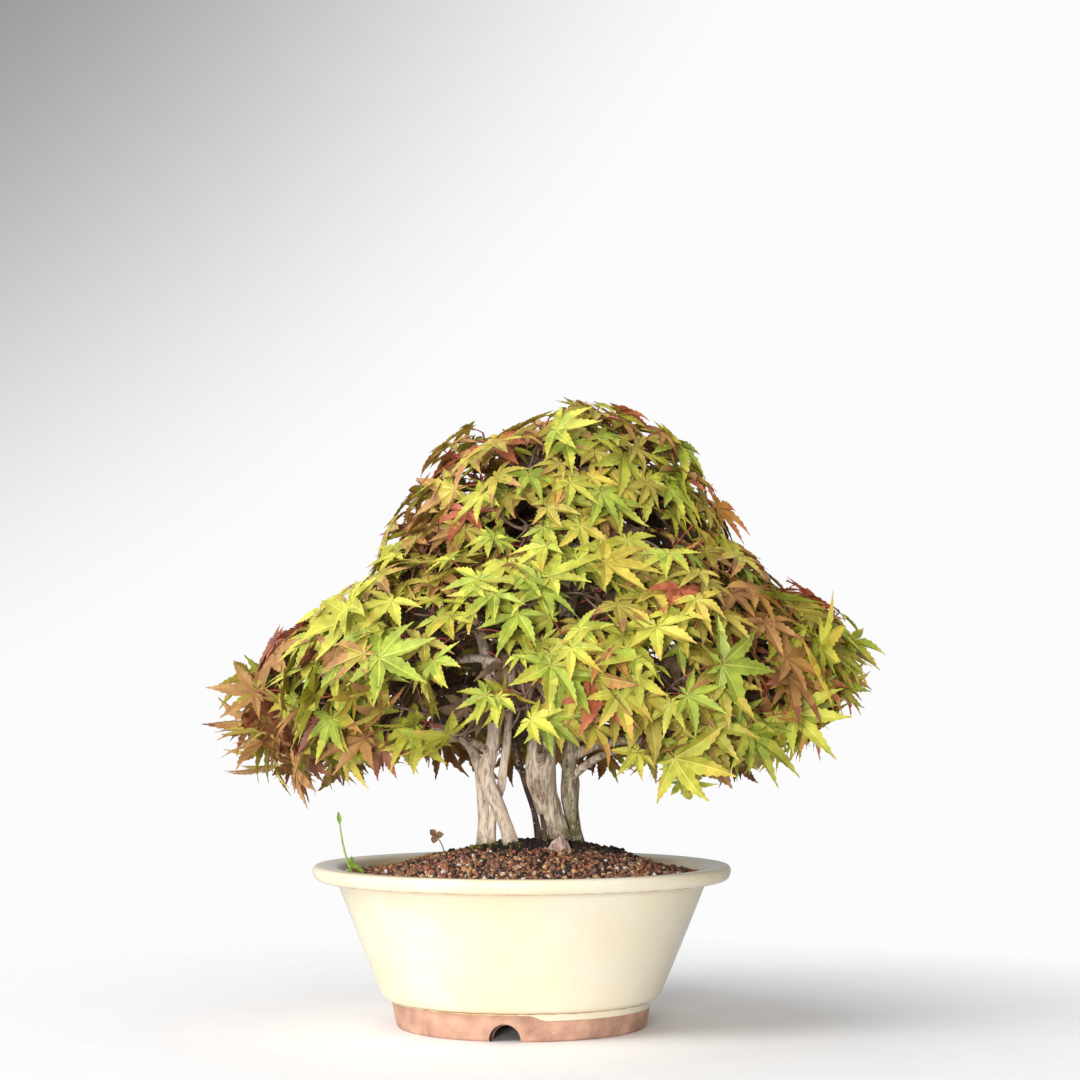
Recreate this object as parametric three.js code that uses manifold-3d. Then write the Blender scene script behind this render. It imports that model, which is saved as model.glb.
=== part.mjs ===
// A Japanese maple grown as a clump-style bonsai in a shallow round glazed pot.
// Units are millimetres, +Z is up and the tree's front faces -Y. Every size below is measured from the
// pot's own axis, with z = 0 on the table; the last lines set the group down on its footprint's centre.
import * as THREE from "three";
import { mergeVertices } from "three/addons/utils/BufferGeometryUtils.js";
import Module from "manifold-3d";

const wasm = await Module();
wasm.setup();

// ---- driving dimensions ------------------------------------------------------------------------
const GAP = 0.3; // clearance left between neighbouring solids
const SINK = 3.5; // how far a stem's flat foot lies below the soil's surface

const POT = {
  height: 76,
  rimRadius: 100,
  rimInnerRadius: 88,
  lipDrop: 5.5, // height of the rim's outer face
  bodyTopRadius: 87.5, // right under the lip
  bodyTopZ: 66.5,
  bodyBottomRadius: 65.5,
  footRadius: 61.5,
  footBaseRadius: 59.5,
  footHeight: 13,
  footRing: 9, // width of the ring that it stands on
  wall: 6,
  floorZ: [7, 14], // underside and inside of the floor
  archRadius: 6.5, // drain arches through the foot
  archCount: 3,
  archTurn: -7, // degrees that the front arch lies to the left
  drainRadius: 9,
  sides: 40,
};

const SOIL = {
  edgeRadius: 86.6, // just inside the rim
  edgeZ: 71.5,
  crest: 14.5, // height of the mound above its edge
  crestX: 8,
  crestSpread: 46,
};

const LEAF = {
  lobes: [ // angle from the leaf's axis, and length as a share of the middle lobe
    [0, 1],
    [46, 0.9],
    [97, 0.62],
  ],
  notches: [24, 71], // angles between the lobes
  notchReach: [0.4, 0.34],
  neck: [140, 0.1], // where the blade narrows to its stalk
  middleLobe: [24, 33], // shortest and longest, in mm
  stalk: [11, 19],
  halfThickness: 0.7,
  ridgeBack: 0.08, // the thickest place, behind the leaf's middle as a share of the middle lobe
  droop: [0.1, 0.34], // how far the tips hang below the leaf's middle
};

const CROWN = {
  // The leaf sprays' shell down the crown's side, from the top: [half width, height].
  side: [
    [0, 286],
    [30, 281],
    [52, 268],
    [66, 249],
    [75, 228],
    [97, 207],
    [120, 189],
    [132, 171],
    [132, 153],
    [114, 137],
  ],
  depthShare: 0.8, // front to back, as a share of the width
  middleX: [7, 22], // where the crown's middle stands at the two heights below: it leans to the right
  leanZ: [130, 205],
  sprays: 190,
};

// ---- small helpers -----------------------------------------------------------------------------
const v3 = (x, y, z) => new THREE.Vector3(x, y, z);
const rad = THREE.MathUtils.degToRad;
const UP = v3(0, 0, 1);

// A seeded generator of numbers from 0 to 1, so that every run grows the same tree.
function seeded(seed) {
  let state = seed >>> 0;
  return () => {
    state = (state + 0x6d2b79f5) >>> 0;
    let t = Math.imul(state ^ (state >>> 15), state | 1);
    t = (t + Math.imul(t ^ (t >>> 7), t | 61)) ^ t;
    return ((t ^ (t >>> 14)) >>> 0) / 4294967296;
  };
}
const between = (random, [low, high]) => low + (high - low) * random();

// The closed geometry as a manifold solid.
function solidOf(geometry) {
  const bare = geometry.clone();
  bare.deleteAttribute("normal");
  bare.deleteAttribute("uv");
  const merged = mergeVertices(bare, 1e-4);
  return new wasm.Manifold(
    new wasm.Mesh({
      numProp: 3,
      vertProperties: Float32Array.from(merged.attributes.position.array),
      triVerts: Uint32Array.from(merged.index.array),
    }),
  );
}

// A manifold solid as a three.js geometry.
function geometryOf(solid) {
  const mesh = solid.getMesh();
  const geometry = new THREE.BufferGeometry();
  geometry.setAttribute("position", new THREE.BufferAttribute(Float32Array.from(mesh.vertProperties), 3));
  geometry.setIndex(new THREE.BufferAttribute(Uint32Array.from(mesh.triVerts), 1));
  geometry.computeVertexNormals();
  return geometry;
}

const touching = (a, b) => !a.intersect(b).isEmpty();
const largestBody = (solid) => solid.decompose().reduce((a, b) => (a.volume() > b.volume() ? a : b));

// ---- limbs -------------------------------------------------------------------------------------
// Stems rise from a foot in the soil, [x, y, radius], along a route of [x, y, z, radius].
const STEMS = [
  {
    name: "stem_centre",
    foot: [18.2, 0.5, 6.4],
    route: [
      [17.2, 0, 91, 4.8],
      [14.7, -0.5, 98.8, 5],
      [11.2, -1, 107, 6.2],
      [9.2, -1.5, 116, 7.3],
      [9.2, -1, 127, 7.2],
      [11, 1, 142, 6.2],
      [15, 3, 165, 5],
      [22, 4, 200, 3.9],
      [28, 1, 235, 2.8],
      [30, 0, 254, 2],
    ],
  },
  {
    name: "stem_right",
    foot: [26.2, 6, 4.8],
    route: [
      [24.9, 6, 92, 3.5],
      [23.8, 6, 100.7, 3.5],
      [23, 6.5, 109, 4.3],
      [23.2, 7.5, 115, 4.2],
      [22.8, 10, 126, 3.3],
      [27, 10, 140, 3.1],
      [37, 7, 162, 2.7],
      [50, 1, 185, 2.2],
      [61, -7, 201, 1.7],
    ],
  },
  {
    name: "stem_front_left",
    foot: [-4.2, -8, 4.3],
    route: [
      [-7.9, -8, 95.3, 3.9],
      [-12.4, -8, 106.4, 4],
      [-16.3, -8, 115.2, 4.3],
      [-16.9, -8, 121.8, 4],
      [-14.8, -8, 129, 3.4],
      [-13.2, -8, 140, 3.1],
      [-14, -7, 158, 2.8],
      [-18, -6, 178, 2.4],
      [-25, -5, 197, 2],
      [-34, -4, 211, 1.6],
    ],
  },
  {
    name: "stem_rear_left",
    foot: [-18.9, 3.5, 3.6],
    route: [
      [-18.2, 3, 95.3, 2.8],
      [-18.6, 3, 104.2, 2.6],
      [-19.5, 4, 112, 2.5],
      [-21, 6, 122, 2.4],
      [-27, 8, 134, 2.3],
      [-40, 10, 141, 2],
      [-56, 12, 138, 1.6],
    ],
  },
  {
    name: "stem_slim",
    foot: [-14.8, -0.5, 2.4],
    route: [
      [-14.1, 0, 96.5, 1.9],
      [-12.3, 0, 105.4, 1.9],
      [-9.9, 0, 113, 2.1],
      [-8.7, 0, 123.3, 2],
      [-7.3, 1, 133, 2],
      [-6.5, 4, 145, 1.9],
      [-5, 12, 162, 1.8],
      [-3, 21, 184, 1.6],
      [-4, 31, 202, 1.3],
    ],
  },
  {
    name: "stem_shaded",
    foot: [8.9, 8, 2],
    route: [
      [5.9, 8, 100, 1.5],
      [3.1, 8, 109, 1.5],
      [0.6, 8, 117.4, 1.5],
      [-1.9, 9, 125.3, 1.6],
      [-4, 14, 135, 1.5],
      [-9, 32, 143, 1.4],
      [-20, 54, 140, 1.2],
    ],
  },
  { name: "surface_root", foot: [11.2, -5, 1.5], route: [[10.7, -4.8, 92, 1.2], [9.4, -3.6, 99.5, 0.9]] },
];
const STEM_SIDES = 10;
const BOUGH_SIDES = 7;

// Height of the soil at a place in the pot.
function soilZ(x, y) {
  const distance = Math.hypot(x, y);
  const swell = Math.exp(-((x - SOIL.crestX) ** 2 + y ** 2) / (2 * SOIL.crestSpread ** 2));
  const fade = THREE.MathUtils.smoothstep(SOIL.edgeRadius - distance, 0, 40);
  return SOIL.edgeZ + SOIL.crest * swell * fade;
}

// A route of points as a curve, with a radius at any share of its length.
function limbShape(points, radii) {
  const curve = new THREE.CatmullRomCurve3(points, false, "centripetal");
  const radiusAt = (share) => {
    const place = Math.min(share, 0.9999) * (radii.length - 1);
    const low = Math.floor(place);
    return THREE.MathUtils.lerp(radii[low], radii[low + 1], place - low);
  };
  return { curve, radiusAt };
}

// A tapering tube of flat rings round a limb's curve, closed at both ends. `extra` widens it all over.
// A limb with `flatFoot` starts on a level cut.
function limbGeometry({ curve, radiusAt }, steps, sides, { extra = 0, flatFoot = false } = {}) {
  const frames = curve.computeFrenetFrames(steps, false);
  const positions = [];
  const index = [];
  for (let i = 0; i <= steps; i++) {
    const share = i / steps;
    const level = flatFoot && i === 0;
    const centre = curve.getPoint(share);
    const normal = level ? v3(1, 0, 0) : frames.normals[i];
    const binormal = level ? v3(0, 1, 0) : frames.binormals[i];
    if (!level && flatFoot) {
      // The rings keep the first ring's bearing, so the tube doesn't twist.
      const side = v3(1, 0, 0).projectOnPlane(frames.tangents[i]).normalize();
      normal.copy(side);
      binormal.crossVectors(frames.tangents[i], side);
    }
    for (let k = 0; k < sides; k++) {
      const angle = (2 * Math.PI * k) / sides;
      const spoke = normal.clone().multiplyScalar(Math.cos(angle)).addScaledVector(binormal, Math.sin(angle));
      positions.push(...centre.clone().addScaledVector(spoke, radiusAt(share) + extra).toArray());
    }
  }
  for (let i = 0; i < steps; i++)
    for (let k = 0; k < sides; k++) {
      const [a, b] = [i * sides + k, i * sides + ((k + 1) % sides)];
      index.push(a, b, b + sides, a, b + sides, a + sides);
    }
  for (let k = 1; k < sides - 1; k++) {
    index.push(0, k + 1, k);
    const last = steps * sides;
    index.push(last, last + k, last + k + 1);
  }
  const geometry = new THREE.BufferGeometry();
  geometry.setAttribute("position", new THREE.Float32BufferAttribute(positions, 3));
  geometry.setIndex(index);
  return geometry;
}

function stemShape({ foot: [x, y, radius], route }) {
  const stations = [[x, y, soilZ(x, y) - SINK, radius], ...route];
  return limbShape(stations.map((station) => v3(...station)), stations.map((station) => station[3]));
}

// A bough leaves its stem at a share of the stem's height, arches out and ends inside its mass.
function boughShape(stem, { from, heart, radius, rise }) {
  const start = stem.curve.getPoint(from);
  const end = v3(...heart);
  const knee = start.clone().lerp(end, 0.45).addScaledVector(UP, rise);
  const arch = new THREE.QuadraticBezierCurve3(start, knee, end);
  return limbShape(arch.getPoints(4), [radius, radius * 0.82, radius * 0.64, radius * 0.5]);
}

// ---- foliage masses ----------------------------------------------------------------------------
// Each mass is a node with its own convex space round `centre`. Its stem starts at the end of its bough,
// `heart`, or at the tip of a stem that ends in it. `tint` names the leaves' colour on the mass.
const RINGS = [
  { z: 282, reach: 0, masses: [{ name: "apex", tip: "stem_centre", tint: "olive" }] },
  {
    z: 215,
    reach: 72,
    masses: [
      { name: "upper_front", stem: "stem_centre", from: 0.66, radius: 2.2, tint: "lime" },
      { name: "upper_right", tip: "stem_right", tint: "orange" },
      { name: "upper_back_right", stem: "stem_centre", from: 0.6, radius: 2.2, tint: "gold" },
      { name: "upper_back_left", tip: "stem_slim", tint: "olive" },
      { name: "upper_left", tip: "stem_front_left", tint: "lime" },
    ],
  },
  {
    z: 145,
    reach: 112,
    masses: [
      { name: "lower_front", stem: "stem_centre", from: 0.45, radius: 2.4, tint: "lime" },
      { name: "lower_right_front", stem: "stem_right", from: 0.46, radius: 2.2, tint: "lime" },
      { name: "lower_right", stem: "stem_right", from: 0.56, radius: 2.7, tint: "orange" },
      { name: "lower_right_back", stem: "stem_right", from: 0.64, radius: 2.2, tint: "gold" },
      { name: "lower_left_back", tip: "stem_shaded", tint: "olive" },
      { name: "lower_left", tip: "stem_rear_left", tint: "russet" },
      { name: "lower_left_front", stem: "stem_front_left", from: 0.5, radius: 2, tint: "lime" },
    ],
  },
];
const HEART_SHARE = 0.62; // how far out from the crown's axis towards the mass's centre a bough ends
const HEART_DROP = 14; // and how far below the centre
const BOUGH_RISE = 12;
const TWIG = { sides: 3, root: 1.8, bud: 1.25, forkShare: 0.5 };

const crownMiddleX = (z) => THREE.MathUtils.lerp(...CROWN.middleX, THREE.MathUtils.smoothstep(z, ...CROWN.leanZ));

// The masses stand evenly round each ring, the first one in front and the others on round to the right.
const MASSES = RINGS.flatMap(({ z, reach, masses }) =>
  masses.map((mass, i) => {
    const bearing = rad(-90 + (360 * i) / masses.length);
    const x = crownMiddleX(z) + reach * Math.cos(bearing);
    return { ...mass, centre: [x, reach * CROWN.depthShare * Math.sin(bearing), z] };
  }),
);

// Where a mass's bough ends: part of the way out to its centre, and a little below it.
function heartOf({ centre: [x, y, z] }) {
  const middle = crownMiddleX(z);
  return [middle + (x - middle) * HEART_SHARE, y * HEART_SHARE, z - HEART_DROP];
}

// The crown's side as a smooth line: its half width, height and direction at a share of its length.
const crownLine = new THREE.SplineCurve(CROWN.side.map(([w, z]) => new THREE.Vector2(w, z)));
function sideAt(share) {
  const { x: width, y: z } = crownLine.getPointAt(share);
  return { width, z, along: crownLine.getTangentAt(share) };
}

// Evenly spread places for leaf sprays on the crown's shell, each with the direction it faces.
function spraySites(random) {
  const samples = 400;
  const sums = [0];
  for (let i = 1; i <= samples; i++) sums.push(sums[i - 1] + sideAt(i / samples).width);
  const sites = [];
  for (let n = 0; n < CROWN.sprays; n++) {
    const wanted = ((n + 0.5) / CROWN.sprays) * sums[samples];
    const share = sums.findIndex((s) => s >= wanted) / samples;
    const { width, z, along } = sideAt(share);
    const angle = n * Math.PI * (3 - Math.sqrt(5)) + 0.5 * random();
    const face = v3(-along.y * Math.cos(angle), -along.y * Math.sin(angle), along.x).normalize();
    const inward = 9 * random();
    const place = v3(
      crownMiddleX(z) + (width - inward) * Math.cos(angle),
      (width - inward) * CROWN.depthShare * Math.sin(angle),
      z + 6 * (random() - 0.5),
    );
    sites.push({ place, face });
  }
  return sites;
}

// The flat sides that part one mass's space from all the others', each halfway between two centres.
function spaceOf(mass) {
  const own = v3(...mass.centre);
  const walls = MASSES.filter((other) => other !== mass).map((other) => {
    const normal = v3(...other.centre).sub(own).normalize();
    return { normal, limit: normal.dot(own.clone().lerp(v3(...other.centre), 0.5)) - GAP / 2 };
  });
  return (point) => walls.every(({ normal, limit }) => normal.dot(point) <= limit);
}

// A skin of triangles that only grows outward from its own faces. A twig or a leaf takes one face as its
// root, so a whole mass is a single closed body whose stalks are as wide at the root as that face.
class Skin {
  constructor(rootPoints) {
    this.points = [...rootPoints];
    this.shoots = [];
    this.faces = new Map(); // each face under its own corners
    this.keep([2, 1, 0]);
  }

  keep(face) {
    this.faces.set(face.join(), face);
  }

  centre(face) {
    return face.reduce((sum, i) => sum.add(this.points[i]), v3()).divideScalar(face.length);
  }

  normal([a, b, c]) {
    const [p, q, r] = [a, b, c].map((i) => this.points[i]);
    return q.clone().sub(p).cross(r.clone().sub(p)).normalize();
  }

  // Triangles between a root face and the open loop that it leads to, taken in the order in which the
  // corners of both come round the line between their centres.
  zip(inner, outer) {
    const [from, to] = [this.centre(inner), this.centre(outer)];
    const along = to.clone().sub(from).normalize();
    const side = this.points[inner[0]].clone().sub(from).projectOnPlane(along).normalize();
    const across = v3().crossVectors(along, side);
    const turns = (loop, centre) => loop.map((i) => {
      const spoke = this.points[i].clone().sub(centre);
      return Math.atan2(spoke.dot(across), spoke.dot(side));
    });
    const wrap = (angle) => THREE.MathUtils.euclideanModulo(angle, 2 * Math.PI);
    const apart = (a, b) => Math.min(wrap(a - b), wrap(b - a));
    const [innerTurns, outerTurns] = [turns(inner, from), turns(outer, to)];
    const nearest = outerTurns.reduce((a, _, j) =>
      apart(outerTurns[j], innerTurns[0]) < apart(outerTurns[a], innerTurns[0]) ? j : a, 0);
    const turned = (list, start, steps) =>
      steps < list.length ? wrap(list[(start + steps) % list.length] - list[start]) : 2 * Math.PI;
    const faces = [];
    let [i, j] = [0, 0];
    while (i < inner.length || j < outer.length) {
      const a = inner[i % inner.length];
      const b = outer[(nearest + j) % outer.length];
      const innerNext = i < inner.length ? turned(innerTurns, 0, i + 1) : Infinity;
      const outerNext = j < outer.length ? turned(outerTurns, nearest, j + 1) : Infinity;
      if (innerNext <= outerNext) {
        i += 1;
        faces.push([a, inner[i % inner.length], b]);
      } else {
        j += 1;
        faces.push([a, outer[(nearest + j) % outer.length], b]);
      }
    }
    return faces;
  }

  // A shoot is a set of faces on one root face. It becomes part of the skin once `graft` takes it.
  solid(root, faces) {
    const used = [...new Set(faces.flat())];
    const place = new Map(used.map((corner, i) => [corner, i]));
    return new wasm.Manifold(
      new wasm.Mesh({
        numProp: 3,
        vertProperties: Float32Array.from(used.flatMap((i) => this.points[i].toArray())),
        triVerts: Uint32Array.from([...faces, [...root].reverse()].flat().map((corner) => place.get(corner))),
      }),
    );
  }

  graft(shoot) {
    this.faces.delete(shoot.root.join());
    shoot.faces.forEach((face) => this.keep(face));
    this.shoots.push(shoot);
  }

  // Only the corners of the faces go in, not those of shoots that were turned down.
  geometry() {
    const corners = [...this.faces.values()].flat();
    const used = [...new Set(corners)];
    const place = new Map(used.map((corner, i) => [corner, i]));
    const geometry = new THREE.BufferGeometry();
    const places = used.flatMap((corner) => this.points[corner].toArray());
    geometry.setAttribute("position", new THREE.Float32BufferAttribute(places, 3));
    geometry.setIndex(corners.map((corner) => place.get(corner)));
    return geometry;
  }
}

// A three-sided twig from a root face to `end`, closed by a low point whose three sides can root others.
function twigShoot(skin, root, end, radius) {
  const count = skin.points.length;
  const from = skin.centre(root);
  const along = end.clone().sub(from).normalize();
  const side = skin.points[root[0]].clone().sub(from).projectOnPlane(along).normalize();
  const across = v3().crossVectors(along, side);
  const loop = [0, 1, 2].map((k) => {
    const angle = (2 * Math.PI * k) / TWIG.sides;
    skin.points.push(
      end.clone().addScaledVector(side, radius * Math.cos(angle)).addScaledVector(across, radius * Math.sin(angle)),
    );
    return count + k;
  });
  skin.points.push(end.clone().addScaledVector(along, radius * 0.7));
  const buds = loop.map((corner, k) => [corner, loop[(k + 1) % TWIG.sides], count + TWIG.sides]);
  const faces = [...skin.zip(root, loop), ...buds];
  return { root, faces, buds, along, solid: skin.solid(root, faces) };
}

// Half the outline of a five-lobed leaf that lies along +Y, from its tip to its neck.
function leafOutline(length, droop) {
  const points = [LEAF.lobes[0]];
  LEAF.notches.forEach((angle, i) => points.push([angle, LEAF.notchReach[i]], LEAF.lobes[i + 1]));
  return [...points, LEAF.neck].map(([angle, reach]) => {
    const r = length * reach;
    return [r * Math.sin(rad(angle)), r * Math.cos(rad(angle)), -droop * length * reach ** 2];
  });
}

// A leaf on a stalk: a thin blade with a ridge point above and below its neck, where the lobes meet.
function leafShoot(skin, root, { base, axis, facing, length, droop }) {
  const frame = new THREE.Matrix4().makeBasis(v3().crossVectors(axis, facing), axis, facing).setPosition(base);
  const half = leafOutline(length, droop);
  const outline = [...[...half].reverse(), ...half.slice(1).map(([x, y, z]) => [-x, y, z])];
  const ridge = -LEAF.ridgeBack * length;
  const places = [...outline, [0, ridge, LEAF.halfThickness], [0, ridge, -LEAF.halfThickness]];
  const count = skin.points.length;
  skin.points.push(...places.map((place) => v3(...place).applyMatrix4(frame)));
  const [top, bottom] = [count + outline.length, count + outline.length + 1];
  const blade = outline.slice(1).flatMap((_, i) => {
    const [a, b] = [count + i, count + i + 1];
    return [[top, a, b], [bottom, b, a]];
  });
  const neck = [top, count, bottom, count + outline.length - 1];
  const faces = [...skin.zip(root, neck), ...blade];
  return { root, faces, solid: skin.solid(root, faces) };
}

// Where a leaf of a spray stands: its stalk leaves the bud, and the blade hangs outward and down.
function leafPlace(skin, root, face, size, random) {
  const jitter = () => v3(random() - 0.5, random() - 0.5, random() - 0.5);
  const outward = v3(face.x, face.y, 0).normalize();
  const stalkWay = skin.normal(root).addScaledVector(face, 0.4).addScaledVector(jitter(), 0.7).normalize();
  const length = between(random, LEAF.middleLobe) * size;
  const base = skin.centre(root).addScaledVector(stalkWay, between(random, LEAF.stalk) * size);
  const axis = stalkWay.clone().projectOnPlane(face).normalize()
    .addScaledVector(outward, 0.35 * random())
    .addScaledVector(UP, -0.4 - 0.6 * random())
    .addScaledVector(face, 0.15)
    .normalize();
  const facing = face.clone().addScaledVector(UP, 0.35).addScaledVector(jitter(), 0.8)
    .projectOnPlane(axis).normalize();
  return { base, axis, facing, length, droop: between(random, LEAF.droop), bend: axis.dot(stalkWay) };
}

// Grows one mass: twigs fork by halving the group of sites that they lead to, and leaves end them.
function growMass(mass, sites, start, direction, limbs, seed) {
  const random = seeded(seed);
  const jitter = (reach) => v3(random() - 0.5, random() - 0.5, random() - 0.5).multiplyScalar(reach);
  const inSpace = spaceOf(mass);
  const side = v3().crossVectors(direction, v3(0.3, 0.2, 0.9)).normalize();
  const skin = new Skin([0, 1, 2].map((k) =>
    start.clone().addScaledVector(side.clone().applyAxisAngle(direction, (2 * Math.PI * k) / 3), TWIG.root)));

  // Keeps a shoot when it stays in the mass's space, off the limbs and clear of the other shoots.
  const graftIfClear = (shoot) => {
    const corners = new Set(shoot.faces.flat());
    const clear = [...corners].every((corner) => inSpace(skin.points[corner]))
      && limbs.every((limb) => !touching(limb, shoot.solid))
      && skin.shoots.every((other) => {
        const shared = other.solid.intersect(shoot.solid);
        return shared.isEmpty() || (other.faces.flat().some((c) => corners.has(c)) && shared.volume() < 1e-8);
      });
    if (clear) skin.graft(shoot);
    return clear;
  };
  const attempt = (times, make) => {
    for (let i = 0; i < times; i++) {
      const shoot = make(i / times);
      if (shoot && graftIfClear(shoot)) return shoot;
    }
    return null;
  };

  const sprays = [];
  const spareBuds = [];
  const fork = (root, group, radius) => {
    const middle = group.reduce((sum, s) => sum.add(s.place), v3()).divideScalar(group.length);
    const single = group.length === 1;
    const endRadius = single ? TWIG.bud : Math.max(radius * 0.85, TWIG.bud);
    const from = skin.centre(root);
    const twig = attempt(24, (effort) => {
      const way = middle.clone().sub(from).multiplyScalar(single ? 1 : TWIG.forkShare);
      const straightOn = skin.normal(root).multiplyScalar(way.length() * effort);
      const end = way.add(straightOn).add(jitter(4 + 12 * effort)).add(from);
      const steep = end.clone().sub(from).normalize().dot(skin.normal(root)) > 0.35;
      return steep ? twigShoot(skin, root, end, endRadius) : null;
    });
    if (!twig) return;
    if (single) {
      sprays.push(...twig.buds.map((bud) => ({ bud, face: group[0].face })));
      return;
    }
    const spread = ["x", "y", "z"].map((axis) => {
      const values = group.map((s) => s.place[axis]);
      return { axis, extent: Math.max(...values) - Math.min(...values) };
    }).sort((a, b) => b.extent - a.extent)[0].axis;
    const ordered = [...group].sort((a, b) => a.place[spread] - b.place[spread]);
    const half = Math.ceil(ordered.length / 2);
    const halves = [ordered.slice(0, half), ordered.slice(half)];
    const towards = halves.map((part) =>
      part.reduce((sum, s) => sum.add(s.place), v3()).divideScalar(part.length).sub(from).normalize());
    const pairs = [[0, 1], [0, 2], [1, 0], [1, 2], [2, 0], [2, 1]];
    const match = ([i, j]) =>
      skin.normal(twig.buds[i]).dot(towards[0]) + skin.normal(twig.buds[j]).dot(towards[1]);
    const best = pairs.reduce((a, b) => (match(a) >= match(b) ? a : b));
    best.forEach((budIndex, k) => fork(twig.buds[budIndex], halves[k], endRadius));
    const spare = twig.buds[3 - best[0] - best[1]];
    spareBuds.push({ bud: spare, face: group[0].face });
  };
  fork([0, 1, 2], sites, TWIG.root);
  for (const { bud, face } of [...sprays, ...spareBuds]) {
    attempt(110, (effort) => {
      const place = leafPlace(skin, bud, face, 1 - 0.45 * effort, random);
      const stalkWay = place.base.clone().sub(skin.centre(bud)).normalize();
      const straight = stalkWay.dot(skin.normal(bud)) > 0.45 && place.bend > 0.5;
      return straight ? leafShoot(skin, bud, place) : null;
    });
  }
  return skin.geometry();
}

// ---- pot and soil ------------------------------------------------------------------------------
// The pot's section from the axis out along its underside, up the outside and back down the inside.
function potGeometry() {
  const { wall, footRing, floorZ, footBaseRadius: foot } = POT;
  const innerFoot = foot - footRing;
  const section = [
    [0, floorZ[0]],
    [innerFoot, floorZ[0]],
    [innerFoot, 0],
    [foot, 0],
    [POT.footRadius, POT.footHeight - 1.5],
    [POT.bodyBottomRadius - 0.8, POT.footHeight - 0.5],
    [POT.bodyBottomRadius + 1.6, POT.footHeight + 3.5],
    [POT.bodyTopRadius, POT.bodyTopZ],
    [POT.rimRadius - 3, POT.height - POT.lipDrop - 1.8],
    [POT.rimRadius, POT.height - 1.8],
    [POT.rimRadius - 1.6, POT.height],
    [POT.rimInnerRadius, POT.height - 1],
    [POT.bodyTopRadius - wall + 2, POT.bodyTopZ - 8],
    [POT.bodyBottomRadius - wall, floorZ[1]],
    [0, floorZ[1]],
  ].map(([r, z]) => new THREE.Vector2(r, z));
  return new THREE.LatheGeometry(section, POT.sides).rotateX(Math.PI / 2);
}

// A round cutter that lies along a direction in the ground plane, or stands upright.
function roundCutter(radius, length, sides) {
  return new THREE.CylinderGeometry(radius, radius, length, sides);
}

function potSolid() {
  let pot = solidOf(potGeometry());
  for (let i = 0; i < POT.archCount; i++) {
    const bearing = rad(-90 + POT.archTurn + (360 * i) / POT.archCount);
    const arch = roundCutter(POT.archRadius, POT.footRing * 3, 16)
      .rotateZ(bearing + Math.PI / 2)
      .translate(POT.footBaseRadius * Math.cos(bearing), POT.footBaseRadius * Math.sin(bearing), 0);
    pot = pot.subtract(solidOf(arch));
  }
  const drain = roundCutter(POT.drainRadius, POT.floorZ[1] * 4, 16).rotateX(Math.PI / 2);
  return pot.subtract(solidOf(drain));
}

// The root ball fills the pot and rises to a low mound, a few millimetres under the rim at its edge.
function soilSolid(stemCutters) {
  const { wall, floorZ } = POT;
  const topRings = [...Array(5).keys()].map((i) => [SOIL.edgeRadius * (1 - i / 5), SOIL.edgeZ]);
  const section = [
    [0, floorZ[1] + GAP],
    [POT.bodyBottomRadius - wall - GAP * 2, floorZ[1] + GAP],
    [POT.bodyTopRadius - wall + 2 - GAP * 2, POT.bodyTopZ - 8],
    ...topRings,
    [0, SOIL.edgeZ],
  ].map(([r, z]) => new THREE.Vector2(r, z));
  const geometry = new THREE.LatheGeometry(section, 30).rotateX(Math.PI / 2);
  const places = geometry.attributes.position;
  for (let i = 0; i < places.count; i++)
    if (places.getZ(i) > SOIL.edgeZ - 1) places.setZ(i, soilZ(places.getX(i), places.getY(i)));
  return stemCutters.reduce((soil, cutter) => soil.subtract(cutter), solidOf(geometry));
}

// ---- assembly ----------------------------------------------------------------------------------
const COLOURS = {
  glaze: { color: 0xefe6c4, roughness: 0.25 },
  soil: { color: 0x5a3a28, roughness: 0.95 },
  bark: { color: 0xb9a68c, roughness: 0.85 },
  lime: { color: 0x9fae2b, roughness: 0.6 },
  gold: { color: 0xb9a333, roughness: 0.6 },
  olive: { color: 0x7c7a2c, roughness: 0.6 },
  orange: { color: 0xb0683a, roughness: 0.6 },
  russet: { color: 0x7d4a2e, roughness: 0.6 },
};

const plant = new THREE.Group();
function addNode(name, geometry, colour) {
  const mesh = new THREE.Mesh(geometry, new THREE.MeshStandardMaterial(COLOURS[colour]));
  mesh.name = name;
  plant.add(mesh);
}

const shapes = new Map(STEMS.map((stem) => [stem.name, stemShape(stem)]));
const limbs = []; // each limb as cut, with the wider copy that its neighbours keep clear of
function addLimb(name, shape, steps, sides, flatFoot) {
  const cutters = limbs.map((limb) => limb.wide);
  const whole = solidOf(limbGeometry(shape, steps, sides, { flatFoot }));
  const solid = largestBody(cutters.reduce((left, cutter) => left.subtract(cutter), whole));
  limbs.push({ name, solid, wide: solidOf(limbGeometry(shape, steps, sides, { extra: GAP, flatFoot })) });
  addNode(name, geometryOf(solid), "bark");
}
STEMS.forEach(({ name, route }) => addLimb(name, shapes.get(name), route.length + 2, STEM_SIDES, true));
const stemCutters = STEMS.map(({ name }) => {
  const shape = shapes.get(name);
  return solidOf(limbGeometry(shape, 6, STEM_SIDES, { extra: GAP * 2, flatFoot: true }).translate(0, 0, -GAP));
});
const boughEnds = new Map();
for (const mass of MASSES) {
  if (mass.tip) {
    boughEnds.set(mass.name, shapes.get(mass.tip).curve);
    continue;
  }
  const shape = boughShape(shapes.get(mass.stem), { ...mass, heart: heartOf(mass), rise: BOUGH_RISE });
  addLimb("bough_" + mass.name, shape, 5, BOUGH_SIDES, false);
  boughEnds.set(mass.name, shape.curve);
}
addNode("pot", geometryOf(potSolid()), "glaze");
addNode("soil", geometryOf(soilSolid(stemCutters)), "soil");

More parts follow.
